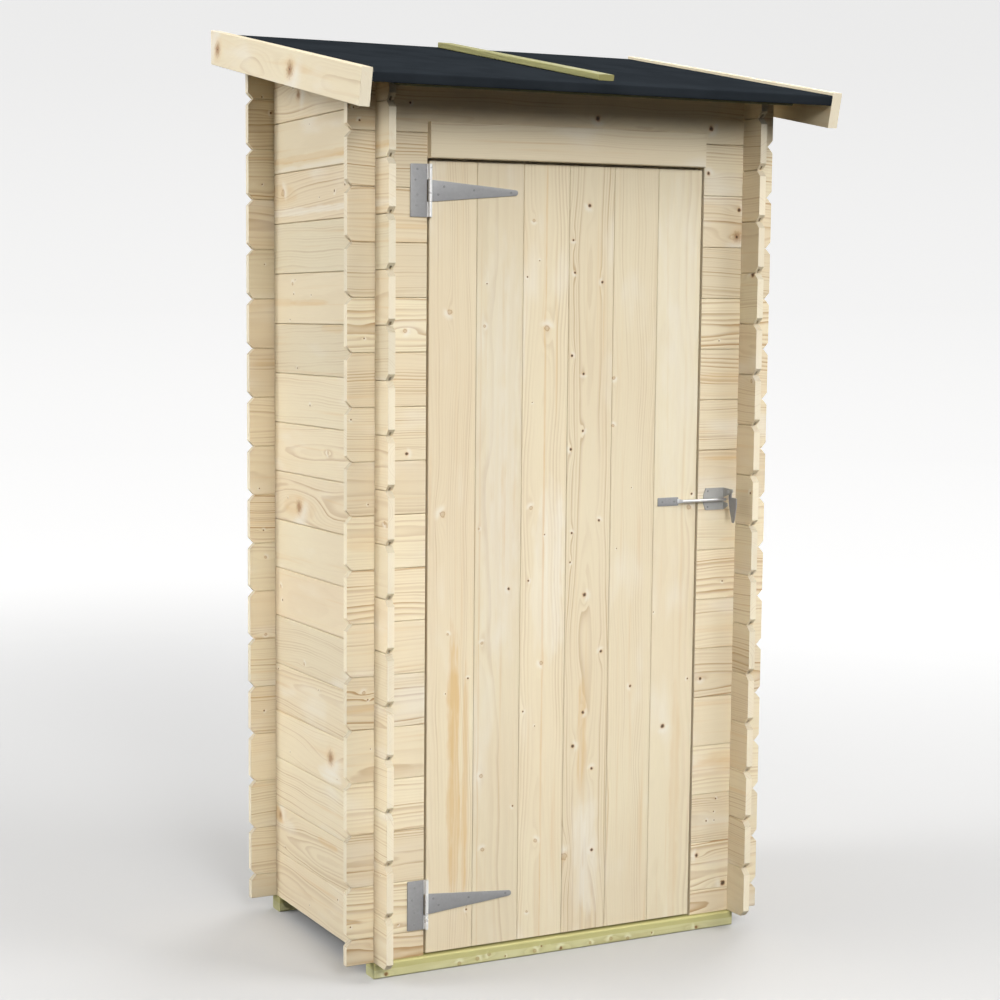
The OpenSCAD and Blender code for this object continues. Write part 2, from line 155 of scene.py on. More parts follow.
class Timber:
    """Boards gathered into one piece, each keeping its own grain."""

    def __init__(self):
        self.points, self.faces = [], []
        self.by_point = {name: [] for name in ("grain", "pith", "tint", *MARKS)}
        self.by_corner = {name: [] for name in (*KNOTS, "cut")}

    def add(self, bm, wood, origin=NOWHERE, u=X, v=Z, w=Y):
        bmesh.ops.recalc_face_normals(bm, faces=bm.faces)
        mirrored = u.cross(v).dot(w) < 0
        first = len(self.points)
        bm.verts.index_update()
        stripes = (*wood.stripe(0), *wood.stripe(1))
        for vert in bm.verts:
            for name, row in zip(MARKS, stripes):
                self.by_point[name].append(row)
            a, b, c = vert.co
            self.points.append(ORIGIN + (origin + u * a + v * b + w * c) * MM)
            self.by_point["grain"].append(((a + wood.shift) * MM, b * MM, c * MM))
            self.by_point["pith"].append([x * MM for x in wood.pith])
            self.by_point["tint"].append(wood.tint)
        for face in bm.faces:
            corners = [first + x.index for x in face.verts]
            if mirrored:
                corners.reverse()
            self.faces.append(corners)
            rows = wood.near(face.calc_center_median().x)
            end_grain = min(1.0, max(0.0, 1.6 * abs(face.normal.x) - 0.35))
            # corner: how far an end-grain face tilts along v (upwards, on a wall board). The material uses it
            # to paint end grain darker where it faces up and lighter where it faces down: painted light and
            # shade.
            corner = end_grain * face.normal.y
            across = end_grain * (1 - 0.8 * abs(face.normal.y))
            for name, row in zip((*KNOTS, "cut"), (*rows, (across, corner, 0.0))):
                self.by_corner[name].extend([row] * len(corners))
        bm.free()
        return self

    def piece(self, name, node, body="shed", slot="pine", material=None):
        mesh = bpy.data.meshes.new(name)
        mesh.from_pydata(self.points, [], self.faces)
        for names, domain in ((self.by_point, "POINT"), (self.by_corner, "CORNER")):
            for key, rows in names.items():
                layer = mesh.attributes.new(key, "FLOAT_VECTOR", domain)
                layer.data.foreach_set("vector", [x for row in rows for x in row])
        mesh.materials.append(material or PINE)
        mesh.update()
        show(bpy.data.objects.new(name, mesh), body, slot, node)


def show(obj, body, slot, *nodes):
    scene.collection.objects.link(obj)
    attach(obj, body)
    if nodes:
        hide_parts(*nodes)


def eased(outline, e):
    """An outline with each corner cut back by e."""
    made = []
    for i, corner in enumerate(outline):
        here = Vector(corner)
        for other in (Vector(outline[i - 1]), Vector(outline[(i + 1) % len(outline)])):
            along = other - here
            made.append(tuple(here + along.normalized() * min(e, along.length / 3)))
    return made


def rectangle(v0, v1, w0, w1):
    return [(v0, w0), (v1, w0), (v1, w1), (v0, w1)]


def loft(bm, rings, ends=True):
    """Joins each ring of points to the next, and closes both ends."""
    made = [bm.faces.new((a[i - 1], a[i], b[i], b[i - 1]))
            for a, b in zip(rings, rings[1:]) for i in range(len(a))]
    return made + ([bm.faces.new(rings[0]), bm.faces.new(rings[-1])] if ends else [])


def prism(outline, u0, u1, bands=()):
    """A bar of one section, given in (v, w), from u0 to u1."""
    bm = bmesh.new()
    loft(bm, [[bm.verts.new((u, v, w)) for v, w in outline] for u in [u0, *sorted(bands), u1]])
    return bm


def slice_off(bm, point, normal):
    """Cuts away what lies on the normal's side of a plane, and closes the cut."""
    cut = bmesh.ops.bisect_plane(
        bm, geom=bm.verts[:] + bm.edges[:] + bm.faces[:], dist=1e-4,
        plane_co=point, plane_no=Vector(normal).normalized(), clear_outer=True,
    )
    edges = [g for g in cut["geom_cut"] if isinstance(g, bmesh.types.BMEdge)]
    if edges:
        bmesh.ops.edgeloop_fill(bm, edges=edges)


def joined_board(u0, u1, v0, v1, thick, tongue=True, groove=True, notches=(), chamfers=(), bands=(),
                 ease=1.0, gap=0.25):
    """A matched board with a tongue above and a groove below. Each notch is (u from, u to, lowest v
    kept, highest v kept); each chamfer is (end u, inward sign, corner v, sign of v into the board)."""
    low, high, mid = v0 + gap, v1 - gap, thick / 2
    keep_low = max([n[2] for n in notches], default=None)
    keep_high = min([n[3] for n in notches], default=None)
    cut_low = bool(notches) and keep_low > v0 + 1
    cut_high = bool(notches) and keep_high < v1 - 1
    face_low = keep_low if cut_low else low + 20
    face_high = keep_high if cut_high else high - 20
    face = ((face_low, 0), (face_high, 0), (face_high, thick), (face_low, thick))
    top = [(high - ease, 0), (high, ease)]
    if tongue:
        tip = high + TONGUE
        top += [(high, mid - 2.3), (tip, mid - 2.0), (tip, mid + 2.0), (high, mid + 2.3)]
    top += [(high, thick - ease), (high - ease, thick)]
    bottom = [(low + ease, thick), (low, thick - ease)]
    if groove:
        root = low + GROOVE
        bottom += [(low, mid + 2.6), (root, mid + 2.4), (root, mid - 2.4), (low, mid - 2.6)]
    bottom += [(low, ease), (low + ease, 0)]
    if not notches:
        bm = prism(top + bottom, u0, u1, bands)
    else:
        bm = bmesh.new()
        inside = sorted((max(a, u0), min(b, u1)) for a, b, _, _ in notches)
        stations = sorted({u0, u1, *[x for pair in inside for x in pair], *bands})
        kept = [s for s in stations if not any(a < s < b for a, b in inside)]
        spans = [any(a <= (p + q) / 2 <= b for a, b in inside) for p, q in zip(kept, kept[1:])]
        rings = []
        for i, u in enumerate(kept):
            beside = spans[max(i - 1, 0): i + 1]
            has_top = not cut_high or not all(beside)
            has_bottom = not cut_low or not all(beside)
            rings.append({
                "face": [bm.verts.new((u, *c)) for c in face],
                "top": [bm.verts.new((u, *c)) for c in top] if has_top else [],
                "bottom": [bm.verts.new((u, *c)) for c in bottom] if has_bottom else [],
            })

        def skin(a, b):
            for i in range(len(a) - 1):
                bm.faces.new((a[i], a[i + 1], b[i + 1], b[i]))

        def edges(ring, notched):
            """The upper and lower edge of a ring, from its front face to its back and round again."""
            c = ring["face"]
            over = [] if notched and cut_high else ring["top"]
            under = [] if notched and cut_low else ring["bottom"]
            return [c[1], *over, c[2]], [c[3], *under, c[0]]

        for a, b, notched in zip(rings, rings[1:], spans):
            skin(a["face"][0:2], b["face"][0:2])
            skin(a["face"][2:4], b["face"][2:4])
            for pair in zip(edges(a, notched), edges(b, notched)):
                skin(*pair)
        for i in range(1, len(rings) - 1):
            if spans[i - 1] != spans[i]:
                over, under = edges(rings[i], False)
                if cut_high:
                    bm.faces.new(over)
                if cut_low:
                    bm.faces.new(under)
        for r, notched in ((rings[0], spans[0]), (rings[-1], spans[-1])):
            over, under = edges(r, notched)
            bm.faces.new((under[-1], *over, *under[:-1]))
    for end, inward, corner, into in chamfers:
        point = Vector((end + inward * CHAMFER_IN, corner, 0))
        slice_off(bm, point, (-inward * CHAMFER_UP, -into * CHAMFER_IN, 0))
    return bm


# ---------------- materials
class Tree:
    """Short names for the nodes that a material is built from."""

    def __init__(self, name):
        self.material = bpy.data.materials.new(name)
        self.material.use_nodes = True
        self.nodes = self.material.node_tree.nodes
        self.links = self.material.node_tree.links
        self.shader = self.nodes["Principled BSDF"]

    def put(self, socket, value):
        if isinstance(value, bpy.types.NodeSocket):
            self.links.new(value, socket)
        elif value is not None:
            socket.default_value = value

    def math(self, operation, *values, clamp=False):
        node = self.nodes.new("ShaderNodeMath")
        node.operation, node.use_clamp = operation, clamp
        for socket, value in zip(node.inputs, values):
            self.put(socket, value)
        return node.outputs[0]

    def add(self, a, b, clamp=False):
        return self.math("ADD", a, b, clamp=clamp)

    def take(self, a, b):
        return self.math("SUBTRACT", a, b)

    def over(self, a, b):
        return self.math("DIVIDE", a, b)

    def most(self, a, b):
        return self.math("MAXIMUM", a, b)

    def times(self, *values):
        result = values[0]
        for value in values[1:]:
            result = self.math("MULTIPLY", result, value)
        return result

    def squares(self, a, b):
        return self.add(self.times(a, a), self.times(b, b))

    def swing(self, noise, amount):
        """Noise turned into a value that swings evenly about 0."""
        return self.times(self.take(noise, 0.5), amount)

    def step(self, value, low, high, start=0.0, end=1.0):
        node = self.nodes.new("ShaderNodeMapRange")
        node.interpolation_type = "SMOOTHSTEP"
        self.put(node.inputs["Value"], value)
        for name, number in (("From Min", low), ("From Max", high), ("To Min", start), ("To Max", end)):
            self.put(node.inputs[name], number)
        return node.outputs["Result"]

    def fade(self, value, low, high):
        return self.step(value, low, high, 1.0, 0.0)

    def split(self, kind, value):
        node = self.nodes.new(kind)
        self.links.new(value, node.inputs[0])
        return node.outputs

    def attribute(self, name):
        node = self.nodes.new("ShaderNodeAttribute")
        node.attribute_name = name
        return self.split("ShaderNodeSeparateXYZ", node.outputs["Vector"])

    def place(self):
        return self.nodes.new("ShaderNodeTexCoord").outputs["Object"]

    def vector(self, x, y=0.0, z=0.0):
        node = self.nodes.new("ShaderNodeCombineXYZ")
        for socket, value in zip(node.inputs, (x, y, z)):
            self.put(socket, value)
        return node.outputs[0]

    def noise(self, vector, scale=1.0, detail=2.0, rough=0.5, colour=False):
        node = self.nodes.new("ShaderNodeTexNoise")
        self.put(node.inputs["Vector"], vector)
        node.inputs["Scale"].default_value = scale
        node.inputs["Detail"].default_value = detail
        node.inputs["Roughness"].default_value = rough
        return self.split("ShaderNodeSeparateColor", node.outputs["Color"]) if colour else node.outputs[0]

    def mix(self, share, a, b, kind="MIX"):
        node = self.nodes.new("ShaderNodeMix")
        node.data_type, node.blend_type = "RGBA", kind
        self.put(node.inputs["Factor"], share)
        for socket, value in zip([s for s in node.inputs if s.type == "RGBA"], (a, b)):
            self.put(socket, (*value, 1) if isinstance(value, tuple) and len(value) == 3 else value)
        return [s for s in node.outputs if s.type == "RGBA"][0]

    def bump(self, height, strength, distance):
        node = self.nodes.new("ShaderNodeBump")
        node.inputs["Strength"].default_value = strength
        node.inputs["Distance"].default_value = distance
        self.put(node.inputs["Height"], height)
        self.put(self.shader.inputs["Normal"], node.outputs[0])

    def finish(self, colour, roughness, **plain):
        self.put(self.shader.inputs["Base Color"], colour)
        self.put(self.shader.inputs["Roughness"], roughness)
        for name, value in plain.items():
            self.shader.inputs[name.replace("_", " ")].default_value = value
        return self.material


# Radii in metres: under the first pair there is no knot, and over the second it is a large one.
NO_KNOT = (0.0004, 0.0006)
LARGE_KNOT = (0.006, 0.012)


def wood_material(name, early, warm_early, late, streak, pale, end_grain, knot, live_knot, two_tone=None):
    """Planed wood: the year rings of a tree that the board was cut from, bent round its knots, with a painted
    sheen beside the knots and painted light and shade on tilted end grain.
    """
    t = Tree(name)
    u, v, w = t.attribute("grain")
    pith_v, pith_w, ring = t.attribute("pith")
    light, warm, contrast = t.attribute("tint")

    # Distances to the knots are in knot radii, and a little uneven.
    wobble = t.swing(t.noise(t.vector(t.times(u, 150.0), t.times(v, 150.0), 0.0), detail=1.0), 0.8)
    shift, lift = 0.0, 0.0
    inside, rim, core, painted_knot_sheen, halo = 0.0, 0.0, 0.0, 0.0, 0.0
    for key in KNOTS:
        ku, kv, kr = t.attribute(key)
        radius = t.most(t.math("ABSOLUTE", kr), 0.0001)
        du, dv = t.over(t.take(u, ku), radius), t.over(t.take(v, kv), radius)
        squared = t.times(dv, dv)
        flow = t.times(du, 0.3)
        pull = t.math("EXPONENT", t.times(t.add(t.times(flow, flow), squared), -0.2))
        shift = t.add(shift, t.times(dv, radius, pull, 0.75))
        lift = t.add(lift, t.times(radius, pull, 1.6))
        near = t.add(t.math("SQRT", t.add(t.times(du, du), squared)), wobble)
        dark = t.step(kr, *NO_KNOT)
        pale_knot = t.fade(kr, -NO_KNOT[1], -NO_KNOT[0])
        large = t.fade(kr, -LARGE_KNOT[1], -LARGE_KNOT[0])
        body = t.fade(near, 0.72, 1.05)
        glow = t.times(t.fade(near, 0.2, 1.15), large, 0.95)
        edge = t.times(t.step(near, 0.6, 0.95), t.fade(near, 0.95, 1.25))
        inside = t.most(inside, t.times(body, t.add(dark, t.times(pale_knot, 0.3))))
        inside = t.most(inside, glow)
        pale_rim = t.add(t.times(dark, 0.3), t.times(pale_knot, t.take(0.6, t.times(large, 0.45))))
        rim = t.most(rim, t.times(edge, pale_rim))
        core = t.most(core, t.times(t.fade(near, 0.35, 0.95), dark))
        halo = t.most(halo, t.times(t.fade(near, 0.9, 2.0), t.add(dark, pale_knot)))
        # Painted sheen: a pale patch on one side of each knot, standing in for the light that the grain bent
        # round it catches.
        turn = t.times(ku, 997.0)
        side = t.add(t.times(du, t.math("SINE", turn)), t.times(dv, t.math("COSINE", turn)))
        sheen_beside_knot = t.times(t.fade(near, 1.1, 4.2), t.step(side, -0.3, 1.5), t.add(dark, pale_knot))
        painted_knot_sheen = t.most(painted_knot_sheen, sheen_beside_knot)
    bent_v = t.take(v, shift)

    def drawn_out(v, along, across, **look):
        """Noise drawn out along the grain."""
        return t.noise(t.vector(t.times(u, along), t.times(v, across), t.times(w, across)), **look)

    # Year rings, counted outwards from the pith.
    wander = drawn_out(bent_v, 1.9, 3.0, rough=0.45, colour=True)
    dv = t.add(t.take(bent_v, pith_v), t.swing(wander[0], 0.055))
    dw = t.add(t.take(w, pith_w), t.swing(wander[1], 0.04))
    out = t.math("SQRT", t.squares(dv, dw))
    ripple = drawn_out(bent_v, 12.0, 45.0, rough=0.6)
    out = t.add(t.add(out, lift), t.add(t.times(u, 0.006), t.swing(ripple, 0.0026)))
    count = t.over(out, ring)
    count = t.add(count, t.swing(t.noise(t.vector(t.times(count, 0.37), 3.7, 0.0), detail=1.0), 2.2))
    share = t.math("FRACT", count)
    late_wood = t.times(t.step(share, 0.25, 0.88), t.fade(share, 0.88, 1.0))
    each = t.nodes.new("ShaderNodeTexWhiteNoise")
    each.noise_dimensions = "1D"
    t.put(each.inputs["W"], t.math("FLOOR", count))
    strength = t.step(each.outputs[0], 0.2, 1.0, 0.18, 1.0)
    zone_share = t.step(drawn_out(bent_v, 2.0, 17.0), 0.36, 0.62, 0.25, 1.0)
    late_share = t.math("MULTIPLY", t.times(late_wood, strength, zone_share, contrast), 1.0, clamp=True)

    # Colours along the grain, then the marks that a board was given.
    warm_share = t.add(t.times(warm, 0.7), t.times(t.take(wander[2], 0.45), 1.5), clamp=True)
    colour = t.mix(warm_share, early, warm_early)
    colour = t.mix(late_share, colour, late)
    runs = drawn_out(bent_v, 1.6, 60.0, rough=0.6)
    colour = t.mix(t.times(t.step(runs, 0.56, 0.8), 0.55), colour, streak)
    bleached = t.noise(t.vector(t.times(u, 4.2), t.times(v, 13.0), 9.3))
    colour = t.mix(t.times(t.step(bleached, 0.55, 0.76), 0.5), colour, pale)
    for tag in ("a", "b"):
        v_mid, v_half, force = t.attribute(f"stripe_{tag}")
        u_mid, u_half, white = t.attribute(f"run_{tag}")
        across = t.over(t.take(bent_v, v_mid), v_half)
        along = t.over(t.take(u, u_mid), u_half)
        far = t.squares(across, t.times(along, along))
        far = t.add(far, t.times(t.add(t.take(ripple, 0.5), t.take(runs, 0.5)), 2.4))
        lines = t.step(runs, 0.34, 0.6, 0.45, 1.0)
        colour = t.mix(t.times(t.fade(far, 0.0, 1.15), lines, force), colour, t.mix(white, streak, pale))
    fibre = drawn_out(bent_v, 22.0, 620.0, detail=1.0)
    # Painted sheen beside the knots, in the pale colour.
    colour = t.mix(t.times(painted_knot_sheen, 0.8), colour, pale)
    colour = t.mix(t.times(halo, 0.32), colour, streak)
    ringed = t.mix(core, live_knot, knot)
    colour = t.mix(t.times(inside, 0.97), colour, ringed)
    colour = t.mix(rim, colour, live_knot)
    end_share, corner = t.attribute("cut")[:2]
    colour = t.mix(t.times(end_share, 0.6), colour, end_grain)
    if two_tone:
        edge_v, tone = two_tone
        ragged = t.noise(t.vector(t.times(u, 7.0), 0.0, 2.0), detail=3.0)
        above = t.step(t.take(v, t.add(edge_v, t.swing(ragged, 0.009))), -0.0006, 0.0006)
        colour = t.mix(t.times(above, 0.75), colour, tone)
    # Painted light and shade on end grain: faces tilted down (corner below zero) are made lighter, faces
    # tilted up darker.
    level = t.add(t.add(1.0, light), t.add(t.swing(fibre, 0.07), t.times(corner, -0.55)))
    colour = t.mix(1.0, colour, t.vector(level, level, level), "MULTIPLY")
    t.bump(drawn_out(v, 18.0, 480.0), 0.25, 0.0005)
    rough = t.add(t.times(late_share, -0.12), t.add(0.62, t.swing(runs, 0.16)))
    return t.finish(colour, rough, Specular_IOR_Level=0.32)


PINE = wood_material(
    "planed_pine", early=(0.765, 0.677, 0.484), warm_early=(0.714, 0.592, 0.410), late=(0.45, 0.29, 0.14),
    streak=(0.67, 0.475, 0.24), pale=(0.80, 0.75, 0.645), end_grain=(0.84, 0.765, 0.60),
    knot=(0.058, 0.030, 0.016), live_knot=(0.36, 0.20, 0.095),
)
TREATED = wood_material(
    "treated_pine", early=(0.61, 0.595, 0.33), warm_early=(0.52, 0.48, 0.23), late=(0.29, 0.25, 0.10),
    streak=(0.37, 0.31, 0.13), pale=(0.72, 0.71, 0.49), end_grain=(0.46, 0.45, 0.23), knot=(0.17, 0.09, 0.03),
    live_knot=(0.34, 0.20, 0.07), two_tone=(-0.014, (0.45, 0.42, 0.165)),
)
# The battens' pine is darker than the bearers'. This is partly painted shade: the colour was chosen for the
# eaves batten, which lies in the shade under the roof, and the roof batten shares it.
BATTEN = wood_material(
    "treated_batten_shade_darkened", early=(0.36, 0.345, 0.135), warm_early=(0.29, 0.25, 0.08), late=(0.15, 0.125, 0.04),
    streak=(0.23, 0.19, 0.065), pale=(0.44, 0.43, 0.23), end_grain=(0.24, 0.215, 0.075),
    knot=(0.12, 0.07, 0.02), live_knot=(0.26, 0.16, 0.05),
)


def felt_material():
    t = Tree("mineral_felt")
    at = t.place()
    grit = t.noise(at, 1400.0, rough=0.7)
    patches = t.noise(at, 9.0, 3.0, 0.55)
    colour = t.mix(t.step(patches, 0.3, 0.7), (0.0190, 0.0230, 0.0275), (0.0245, 0.0295, 0.0350))
    colour = t.mix(t.times(t.step(grit, 0.55, 0.8), 0.5), colour, (0.045, 0.052, 0.060))
    t.bump(t.add(grit, t.times(patches, 0.8)), 0.4, 0.0006)
    return t.finish(colour, t.add(0.82, t.swing(grit, 0.2)), Specular_IOR_Level=0.0)


def metal_material(name, dull, bright, roughness, metallic, flake, relief=0.12):
    t = Tree(name)
    at = t.place()
    cells = t.nodes.new("ShaderNodeTexVoronoi")
    t.put(cells.inputs["Vector"], at)
    cells.inputs["Scale"].default_value = flake
    tone = t.split("ShaderNodeSeparateColor", cells.outputs["Color"])
    dust = t.noise(at, 60.0, 3.0, 0.6)
    colour = t.mix(t.add(t.times(tone[0], 0.35), t.times(dust, 0.65), clamp=True), dull, bright)
    scratch = t.noise(at, 900.0, rough=0.6)
    t.bump(t.add(t.times(dust, 0.8), t.times(scratch, 0.4)), relief, 0.0003)
    return t.finish(colour, t.add(roughness, t.swing(dust, 0.22)), Metallic=metallic)


FELT_SHEET = felt_material()
GALVANISED = metal_material("galvanised_plate", (0.25, 0.25, 0.25), (0.30, 0.30, 0.305), 0.45, 0.3, 160.0)
LATCH_PLATE = metal_material("latch_plate_zinc", (0.35, 0.345, 0.33), (0.415, 0.41, 0.39), 0.42, 0.35, 160.0)
# Painted highlight: the hinges' rolled knuckles get a much lighter zinc than the plates they are rolled from,
# standing in for the light their barrels catch.
ROLLED_HIGHLIGHT_ZINC = metal_material("rolled_zinc_painted_highlight", (0.74, 0.74, 0.735), (0.80, 0.80, 0.795), 0.3, 0.3, 220.0, 0.008)
BRIGHT = metal_material("bright_zinc", (0.46, 0.46, 0.465), (0.56, 0.56, 0.565), 0.34, 0.9, 260.0, 0.03)
SCREW = metal_material("screw_zinc", (0.15, 0.15, 0.155), (0.24, 0.24, 0.245), 0.4, 0.6, 300.0)
DULL_SCREW = metal_material("dull_screw_zinc", (0.21, 0.21, 0.215), (0.28, 0.28, 0.285), 0.45, 0.45, 300.0)


# ---------------- walls
rng = random.Random(41)

# Knots and streaks that mark single boards. A wall board's are kept by its course: a knot as
# (along, up from the board's lower edge, radius), with a pale knot's radius below zero, and a
# streak as (middle along, half length, middle up, half width, strength, 0 amber or 1 white).
FRONT_KNOTS = {
    1: [(-55, 30, 1.8), (830, 85, 5), (905, 10, 7)], 2: [(880, 100, 2), (875, 70, 1.8), (855, 50, 2.2)],
    5: [(-15, 65, 1.8), (830, 45, 4)], 9: [(-15, 25, 1.6)], 10: [(-55, 90, 1.8), (75, 15, 4)],
    12: [(-25, 30, 1.6), (70, 45, -4)], 14: [(910, 85, 5), (905, 25, -12), (905, 25, 4)],
    15: [(825, 50, 4.5)], 16: [(-50, 45, 1.8), (830, 35, 6), (950, 55, 5), (535, 45, 6)],
}
FRONT_STREAKS = {
    3: [(880, 80, 70, 30, 0.6, 0)], 5: [(-30, 60, 45, 9, 0.7, 0)],
    8: [(930, 60, 22, 5, 0.5, 0), (-20, 60, 60, 22, 0.4, 0)],
    9: [(850, 90, 20, 40, 0.5, 1), (900, 90, 95, 7, 0.7, 0)],
    11: [(890, 90, 50, 14, 0.4, 0)], 16: [(-20, 60, 15, 9, 0.6, 0)],
}
LEFT_KNOTS = {
    1: [(515, 90, -11)], 3: [(225, 62, -17)], 4: [(525, 100, 2.2), (290, 90, 1.6)],
    8: [(400, 40, -17), (465, 55, 1.5)], 12: [(420, 100, 1.6), (330, 65, 1.6), (450, 10, 1.6)],
    14: [(205, 60, 3), (285, 50, 1.4), (490, 70, -8)], 16: [(400, 55, -12)],
}
LEFT_STREAKS = {
    1: [(520, 45, 92, 14, 0.9, 0), (240, 60, 88, 9, 0.7, 0)], 3: [(225, 70, 30, 22, 0.7, 1)],
    8: [(400, 90, 40, 16, 0.55, 0)], 11: [(215, 60, 104, 12, 0.6, 0)],
    12: [(540, 130, 48, 10, 0.65, 0), (335, 110, 48, 8, 0.65, 0)],
    14: [(280, 420, 24, 12, 0.7, 1), (500, 100, 66, 24, 0.4, 0)],
    15: [(280, 460, 26, 9, 0.9, 0), (280, 400, 8, 7, 0.5, 1)],
}
BACK_KNOTS = {
    4: [(-30, 55, 2.2)], 6: [(-25, 10, -3)], 7: [(-25, 80, -3)], 8: [(-30, 30, 2)], 9: [(-40, 15, 1.6)],
    13: [(-25, 80, 1.5)], 15: [(-30, 35, 1.7)], 17: [(-30, 5, 1.7)],
}
RIGHT_KNOTS = {8: [(-55, 75, 3)], 12: [(-45, 110, 6)]}
SIDE_COLUMNS = ((-LAP_GAP, WALL + LAP_GAP), (BODY_W - WALL - LAP_GAP, BODY_W + LAP_GAP))
END_COLUMNS = ((-LAP_GAP, WALL + LAP_GAP), (BODY_D - WALL - LAP_GAP, BODY_D + LAP_GAP))
LAP = COURSE / 4 + LAP_GAP / 2


def course_wood(course, v0, v1, u0, u1, knots, streaks, strength=1.2):
    """The timber of one wall board, with the marks kept for its course."""
    marks = [(u, v0 + up, radius) for u, up, radius in knots.get(course, ())]
    stripes = [(u, half, v0 + up, *rest) for u, half, up, *rest in streaks.get(course, ())]
    wood = Wood(rng, (v0 + v1) / 2, WALL / 2, marks, span=(u0, u1, v0, v1), stripes=stripes)
    light, warm, contrast = wood.tint
    wood.tint = (light, warm, contrast * strength)
    return wood


def wall_woods(courses, knots, streaks):
    rows = [(k, max((k - 0.5) * COURSE, 0), (k + 0.5) * COURSE) for k in range(courses + 1)]
    return [course_wood(k, v0, v1, -EAR, BODY_W + EAR, knots, streaks) for k, v0, v1 in rows]


def long_wall(name, node, woods, y, inward, top, u0=-EAR, u1=BODY_W + EAR, ends=(1, 1), first=0):
    """Boards of a front or back wall, which cross the side walls at half-course joints."""
    timber = Timber()
    inside = [(a, b) for a, b in SIDE_COLUMNS if a > u0 and b < u1]
    for k, wood in list(enumerate(woods))[first:]:
        v0, v1 = max((k - 0.5) * COURSE, 0.0), min((k + 0.5) * COURSE, top)
        if v0 >= top:
            break
        notches = [(a, b, k * COURSE - LAP if k else v0 - 5, k * COURSE + LAP) for a, b in inside]
        chamfers = []
        for end, sign, cut in ((u0, 1, ends[0]), (u1, -1, ends[1])):
            if cut:
                chamfers += [(end, sign, v1, -1)] + ([(end, sign, v0, 1)] if k else [])
        bm = joined_board(u0, u1, v0, v1, WALL, v1 != top, k > 0, notches, chamfers, wood.bands(u0, u1),
                          ease=1.5, gap=0.4)
        timber.add(bm, wood, Y * y, X, Z, Y * inward)
    timber.piece(name, node)


DOORWAY_TOP = FRONT_H - COURSE
front_woods = wall_woods(FRONT_COURSES, FRONT_KNOTS, FRONT_STREAKS)
back_woods = wall_woods(FRONT_COURSES + 1, BACK_KNOTS, {})
long_wall("front_boards_left", "front_wall_left", front_woods, 0, 1, DOORWAY_TOP, u1=DOORWAY_L, ends=(1, 0))
long_wall("front_boards_right", "front_wall_right", front_woods, 0, 1, DOORWAY_TOP, u0=DOORWAY_R, ends=(0, 1))
long_wall("front_boards_top", "front_wall_top", front_woods, 0, 1, FRONT_H - LAP_GAP, first=FRONT_COURSES)
long_wall("back_boards", "back_wall", back_woods, BODY_D, -1, BACK_H - LAP_GAP)


def side_wall(name, node, x, inward, knots, streaks):
    """Boards of a side wall, of which the topmost are cut to the roof's slope."""
    timber = Timber()
    u0, u1 = -EAR, BODY_D + EAR
    z_front, z_back = (FRONT_H + RISE * u - LAP_GAP for u in (u0, u1))
    for k in range(FRONT_COURSES + 2):
        v0, v1 = k * COURSE, (k + 1) * COURSE
        if v0 > z_back - 3:
            break
        wood = course_wood(k, v0, v1, u0, u1, knots, streaks, 0.8)
        notches = [(a, b, v0 + COURSE / 2 - LAP, v0 + COURSE / 2 + LAP) for a, b in END_COLUMNS]
        chamfers = []
        for end, sign, height in ((u0, 1, z_front), (u1, -1, z_back)):
            chamfers += [(end, sign, v, into) for v, into in ((v0, 1), (v1, -1)) if v + CHAMFER_UP < height]
        bm = joined_board(u0, u1, v0, v1, WALL, True, k > 0, notches, chamfers, wood.bands(u0, u1),
                          ease=1.6, gap=0.6)
        if v1 + TONGUE > z_front:
            slice_off(bm, Y * (FRONT_H - LAP_GAP), (-RISE, 1, 0))
        timber.add(bm, wood, X * x, Y, Z, X * inward)
    timber.piece(name, node)


side_wall("left_boards", "left_wall", 0, 1, LEFT_KNOTS, LEFT_STREAKS)
side_wall("right_boards", "right_wall", BODY_W, -1, RIGHT_KNOTS, {})


# ---------------- door
# The door boards' knots as (up from the foot, across from the hinge side, radius), and their streaks
# as (middle up, half length, middle across, half width, strength, 0 amber or 1 white).
DOOR_KNOTS = {
    1: [(1390, 50, -5), (85, 100, 2.5), (960, 35, -6), (600, 100, 2.2), (570, 45, 1.4), (700, 50, -2.5)],
    2: [(1450, 25, 1.4), (1360, 20, -3), (305, 100, 2.4), (215, 25, -4), (790, 85, 3.4), (675, 20, -3),
        (925, 10, -2), (380, 20, -4)],
    3: [(1585, 25, -3), (1500, 40, 1.5), (1465, 10, 2), (1355, 60, -6), (1195, 25, 1.4), (965, 25, -4),
        (805, 20, 2.4), (905, 60, 1.8), (620, 55, -4), (515, 10, 2.2), (480, 40, 1.5), (220, 45, -4),
        (60, 25, -2.5)],
    4: [(1620, 50, 4.4), (1545, 10, 2.8), (1475, 15, 2.8), (1455, 85, 3.2), (1295, 10, 3), (1255, 40, 3.2),
        (1130, 40, 3.2), (1090, 10, 3.4), (930, 85, 3.2), (905, 15, 2.6), (840, 12, 2.2), (765, 50, 5),
        (635, 95, 3.8), (500, 50, 4), (425, 25, 4.6), (370, 75, 3.8), (175, 5, -8), (182, 78, 4)],
    5: [(1245, 4, -3.5), (1140, 4, -3), (550, 60, 3.4), (865, 18, 1.4), (1000, 55, 1.2)],
    6: [(450, 35, 5.4), (950, 95, -5), (555, 100, 2.2), (980, 102, 3), (715, 5, 1.5)],
}
